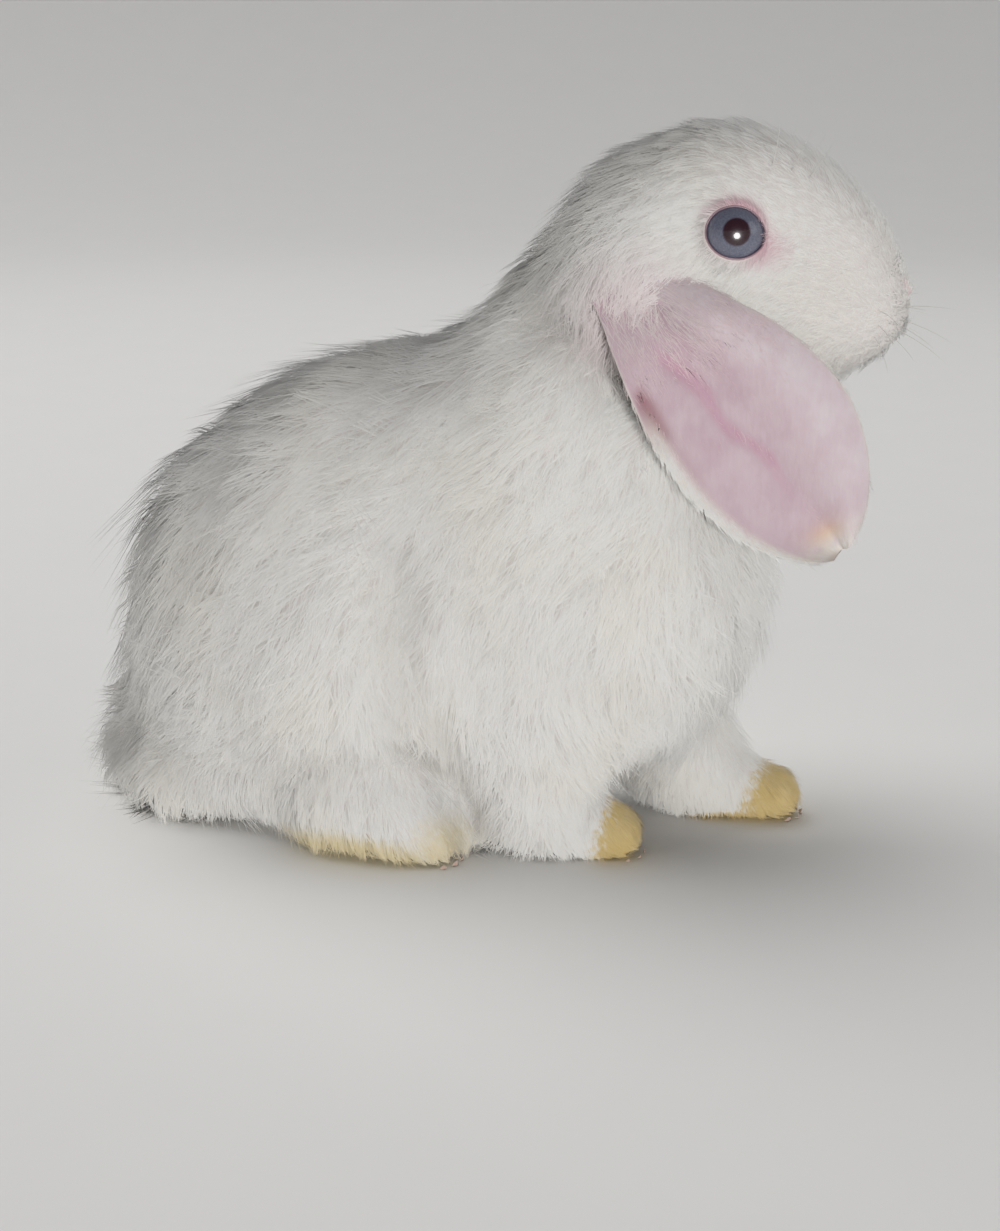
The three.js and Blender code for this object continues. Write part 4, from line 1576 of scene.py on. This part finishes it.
    def build(self) -> list[bpy.types.Object]:
        """Plants every layer and returns the coat's pieces."""
        draw = np.random.default_rng(SEED)
        pieces = []
        for layer in LAYERS:
            roots = self.ground.plant(layer, draw)
            for region in Region:
                rows = np.flatnonzero(roots.region == region.value)
                if not len(rows):
                    continue
                short = region in (Region.HEAD, Region.LEGS, Region.EAR_FACES, Region.EAR_BACKS)
                pattern = self.patterns[SHORT_RINGS if short else layer.rings]
                parts = math.ceil(len(rows) * len(pattern.faces) / self.most)
                for n, part in enumerate(np.array_split(rows, parts)):
                    name = f"coat_{region.name.lower()}_{layer.name}" + (f"_{n + 1}" if parts > 1 else "")
                    mesh = self.tufts(roots.only(part), layer, pattern, draw, name)
                    piece = shown(mesh, name, [self.material])
                    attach(piece, "root")
                    piece.visible_shadow = False
                    pieces.append(piece)
                    LOG.info("%s: %d tufts, %d triangles", name, len(part), len(mesh.polygons))
        return pieces


# ---- Whiskers and claws -----------------------------------------------------------------------------------
@dataclass
class Whiskers:
    """The stiff hairs of the lips and brows."""

    head: HeadAxes
    root_radius: float = 0.08 * MM
    tip_radius: float = 0.02 * MM
    rows: int = 3
    columns: int = 3
    lip: float = 17 * MM
    brow: float = 11 * MM
    rings: tuple[float, ...] = (0.12, 0.25, 0.4, 0.55, 0.7, 0.85)

    def starts(self, side: Side, draw: np.random.Generator) -> list[tuple[Vector, Vector, Vector, float]]:
        """The root, way, sag and length of each whisker on a side."""
        way, place, s = self.head.way, self.head.place, side.value
        made = []
        for row in range(self.rows):
            for column in range(self.columns):
                root = place(61.5 - 2.6 * column, s * (6.4 + 1.5 * column), 6.5 - 2.2 * row)
                ahead = 0.75 - 0.22 * column + draw.uniform(-0.1, 0.1)
                aim = way(ahead, s * (0.55 + 0.15 * column), 0.12 - 0.2 * row + draw.uniform(-0.1, 0.1))
                made.append((root, aim.normalized(), way(-0.5, 0, -0.35), self.lip * draw.uniform(0.75, 1.1)))
        for n in range(3):
            root = place(43 - 4 * n, s * (10.5 + n), 33.5 + n)
            aim = way(0.55 - 0.2 * n, s * 0.35, 0.75 + draw.uniform(-0.1, 0.1))
            made.append((root, aim.normalized(), way(-0.4, 0, -0.1), self.brow * draw.uniform(0.7, 1.1)))
        return made

    def build(self, material: bpy.types.Material) -> None:
        """Makes both sides' whiskers."""
        pattern = TuftPattern(self.rings)
        draw = np.random.default_rng(SEED + 1)
        s = pattern.height[:, None]
        for side in Side:
            points, faces = [], []
            for root, aim, sag, length in self.starts(side, draw):
                run = np.array(aim) * length
                line = np.array(root) - run * 0.1 + run * s * 1.1 + np.array(sag) * length * 0.3 * s**2
                across = unit(np.cross(run, (0, 0, 1)))
                over = unit(np.cross(across, run))
                radius = self.root_radius + (self.tip_radius - self.root_radius) * s
                radius = radius * (s < 1)
                turn = pattern.angle[:, None]
                points.append(line + (across * np.cos(turn) + over * np.sin(turn)) * radius)
                faces.append(pattern.faces + len(faces) * len(s))
            piece = shown(joined("whiskers", np.vstack(points), np.vstack(faces)), f"whiskers_{side.label}", [material])
            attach(piece, "root")
            LOG.info("%s: %d hairs", piece.name, len(points))


@dataclass
class Claws:
    """The tips of the claws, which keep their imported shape."""

    nodes: dict

    def dress(self, material: bpy.types.Material) -> None:
        """Gives every claw its horn."""
        for name, node in self.nodes.items():
            if name.startswith("claw_"):
                node.data.materials.clear()
                node.data.materials.append(material)
                LOG.info("%s: horn", name)


# ---- The studio -------------------------------------------------------------------------------------------
@dataclass
class Studio:
    """The floor, the light and the camera."""

    target: Row = (7.14, 0, 47)  # ahead, left and up, in mm
    azimuth: float = -70
    elevation: float = 16
    distance: float = 450 * MM
    picture_side: float = 1231
    focal: float = 2000  # of the same units as the picture's side
    floor_radius: float = 1.3
    floor_curve: float = 1.2
    floor_steps: int = 12

    def build(self) -> None:
        """Makes them all."""
        floor = self.floor()
        self.camera()
        self.lights(floor)

    def floor(self) -> bpy.types.Object:
        """A plain pale floor that rises all round in a soft curve, like a wide dish."""
        form = bmesh.new()
        bmesh.ops.create_circle(form, cap_ends=True, segments=96, radius=self.floor_radius)
        rim = list(form.edges)
        for n in range(1, self.floor_steps + 1):
            turn = math.radians(80) * n / self.floor_steps
            made = bmesh.ops.extrude_edge_only(form, edges=rim)["geom"]
            rim = [item for item in made if isinstance(item, bmesh.types.BMEdge)]
            radius = self.floor_radius + self.floor_curve * math.sin(turn)
            for vertex in {v for edge in rim for v in edge.verts}:
                flat = vertex.co.xy.normalized() * radius
                vertex.co = (*flat, self.floor_curve * (1 - math.cos(turn)))
        bmesh.ops.recalc_face_normals(form, faces=form.faces)
        if form.faces[0].normal.z < 0:
            bmesh.ops.reverse_faces(form, faces=form.faces)
        for face in form.faces:
            face.smooth = True
        mesh = bpy.data.meshes.new("floor")
        form.to_mesh(mesh)
        form.free()
        floor = shown(mesh, "floor", [FloorFinish().make()])
        return floor

    def camera(self) -> None:
        """The camera at the picture's viewing angle."""
        a, e = math.radians(self.azimuth), math.radians(self.elevation)
        back = Vector((math.sin(a) * math.cos(e), -math.cos(a) * math.cos(e), math.sin(e)))
        target = spot(*self.target)
        lens = bpy.data.cameras.new("camera")
        lens.sensor_width = 36
        lens.sensor_fit = "AUTO"
        lens.lens = self.focal / self.picture_side * lens.sensor_width
        lens.clip_start = 0.01
        camera = bpy.data.objects.new("camera", lens)
        camera.location = target + back * self.distance
        camera.rotation_euler = back.to_track_quat("Z", "Y").to_euler()
        bpy.context.scene.collection.objects.link(camera)
        bpy.context.scene.camera = camera

    def lights(self, floor: bpy.types.Object) -> None:
        """Plain soft light on the rabbit alone, a dim pale surround, and light from above on the floor alone."""
        world = bpy.data.worlds.new("surround")
        bpy.context.scene.world = world
        world.use_nodes = True
        sky = world.node_tree.nodes["Background"]
        sky.inputs["Color"].default_value = (0.93, 0.95, 1.0, 1.0)
        sky.inputs["Strength"].default_value = 0.10
        unlit = bpy.data.collections.new("not_the_floor")
        unlit.objects.link(floor)
        unlit.collection_objects[0].light_linking.link_state = "EXCLUDE"
        for name, place, across, power in (
            ("key", (-1.25, -0.78, 0.24), 0.5, 9.2),
            ("fill", (0.2, -1.3, 0.6), 0.9, 1.2),
            ("far_side", (1.3, -0.3, 0.35), 0.8, 6.0),
        ):
            lamp = self.lamp(name, Vector(place), across, power)
            lamp.light_linking.receiver_collection = unlit
        above = self.lamp("floor_light", Vector((0.3, 0.5, 1.9)), 2.2, 33.5)
        lit = bpy.data.collections.new("floor_only")
        lit.objects.link(floor)
        above.light_linking.receiver_collection = lit
        bpy.context.scene.view_settings.view_transform = "Standard"
        bpy.context.scene.cycles.diffuse_bounces = 4

    def lamp(self, name: str, place: Vector, across: float, power: float) -> bpy.types.Object:
        """A round area light that faces the rabbit.

        Args:
            name: Its name.
            place: Where it hangs.
            across: Its diameter.
            power: Its power in watts.

        Returns:
            The light.
        """
        lamp = bpy.data.lights.new(name, "AREA")
        lamp.shape = "DISK"
        lamp.size = across
        lamp.energy = power
        holder = bpy.data.objects.new(name, lamp)
        holder.location = place
        holder.rotation_euler = (place - Vector((0, 0, 0.07))).to_track_quat("Z", "Y").to_euler()
        bpy.context.scene.collection.objects.link(holder)
        return holder


def main() -> None:
    """Builds the rabbit and the studio round it."""
    logging.basicConfig(level=logging.INFO, format="%(relativeCreated)d ms %(message)s")
    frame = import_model()
    Studio().build()
    LOG.info("studio")
    head = HeadAxes()
    eyes = [Eye(side, head) for side in Side]
    ears = [Ear(side, head) for side in Side]
    _, ground = Skin(frame["nodes"], head, CoatMap(head), eyes, ears).build()
    ball, lids = EyeFinish().make(), LidFinish().make()
    for eye in eyes:
        eye.build(ball, lids)
    Claws(frame["nodes"]).dress(ClawFinish().make())
    Whiskers(head).build(WhiskerFinish().make())
    Coat(ground, CoatFinish(Markings()).make()).build()


if __name__ == "__main__":
    main()
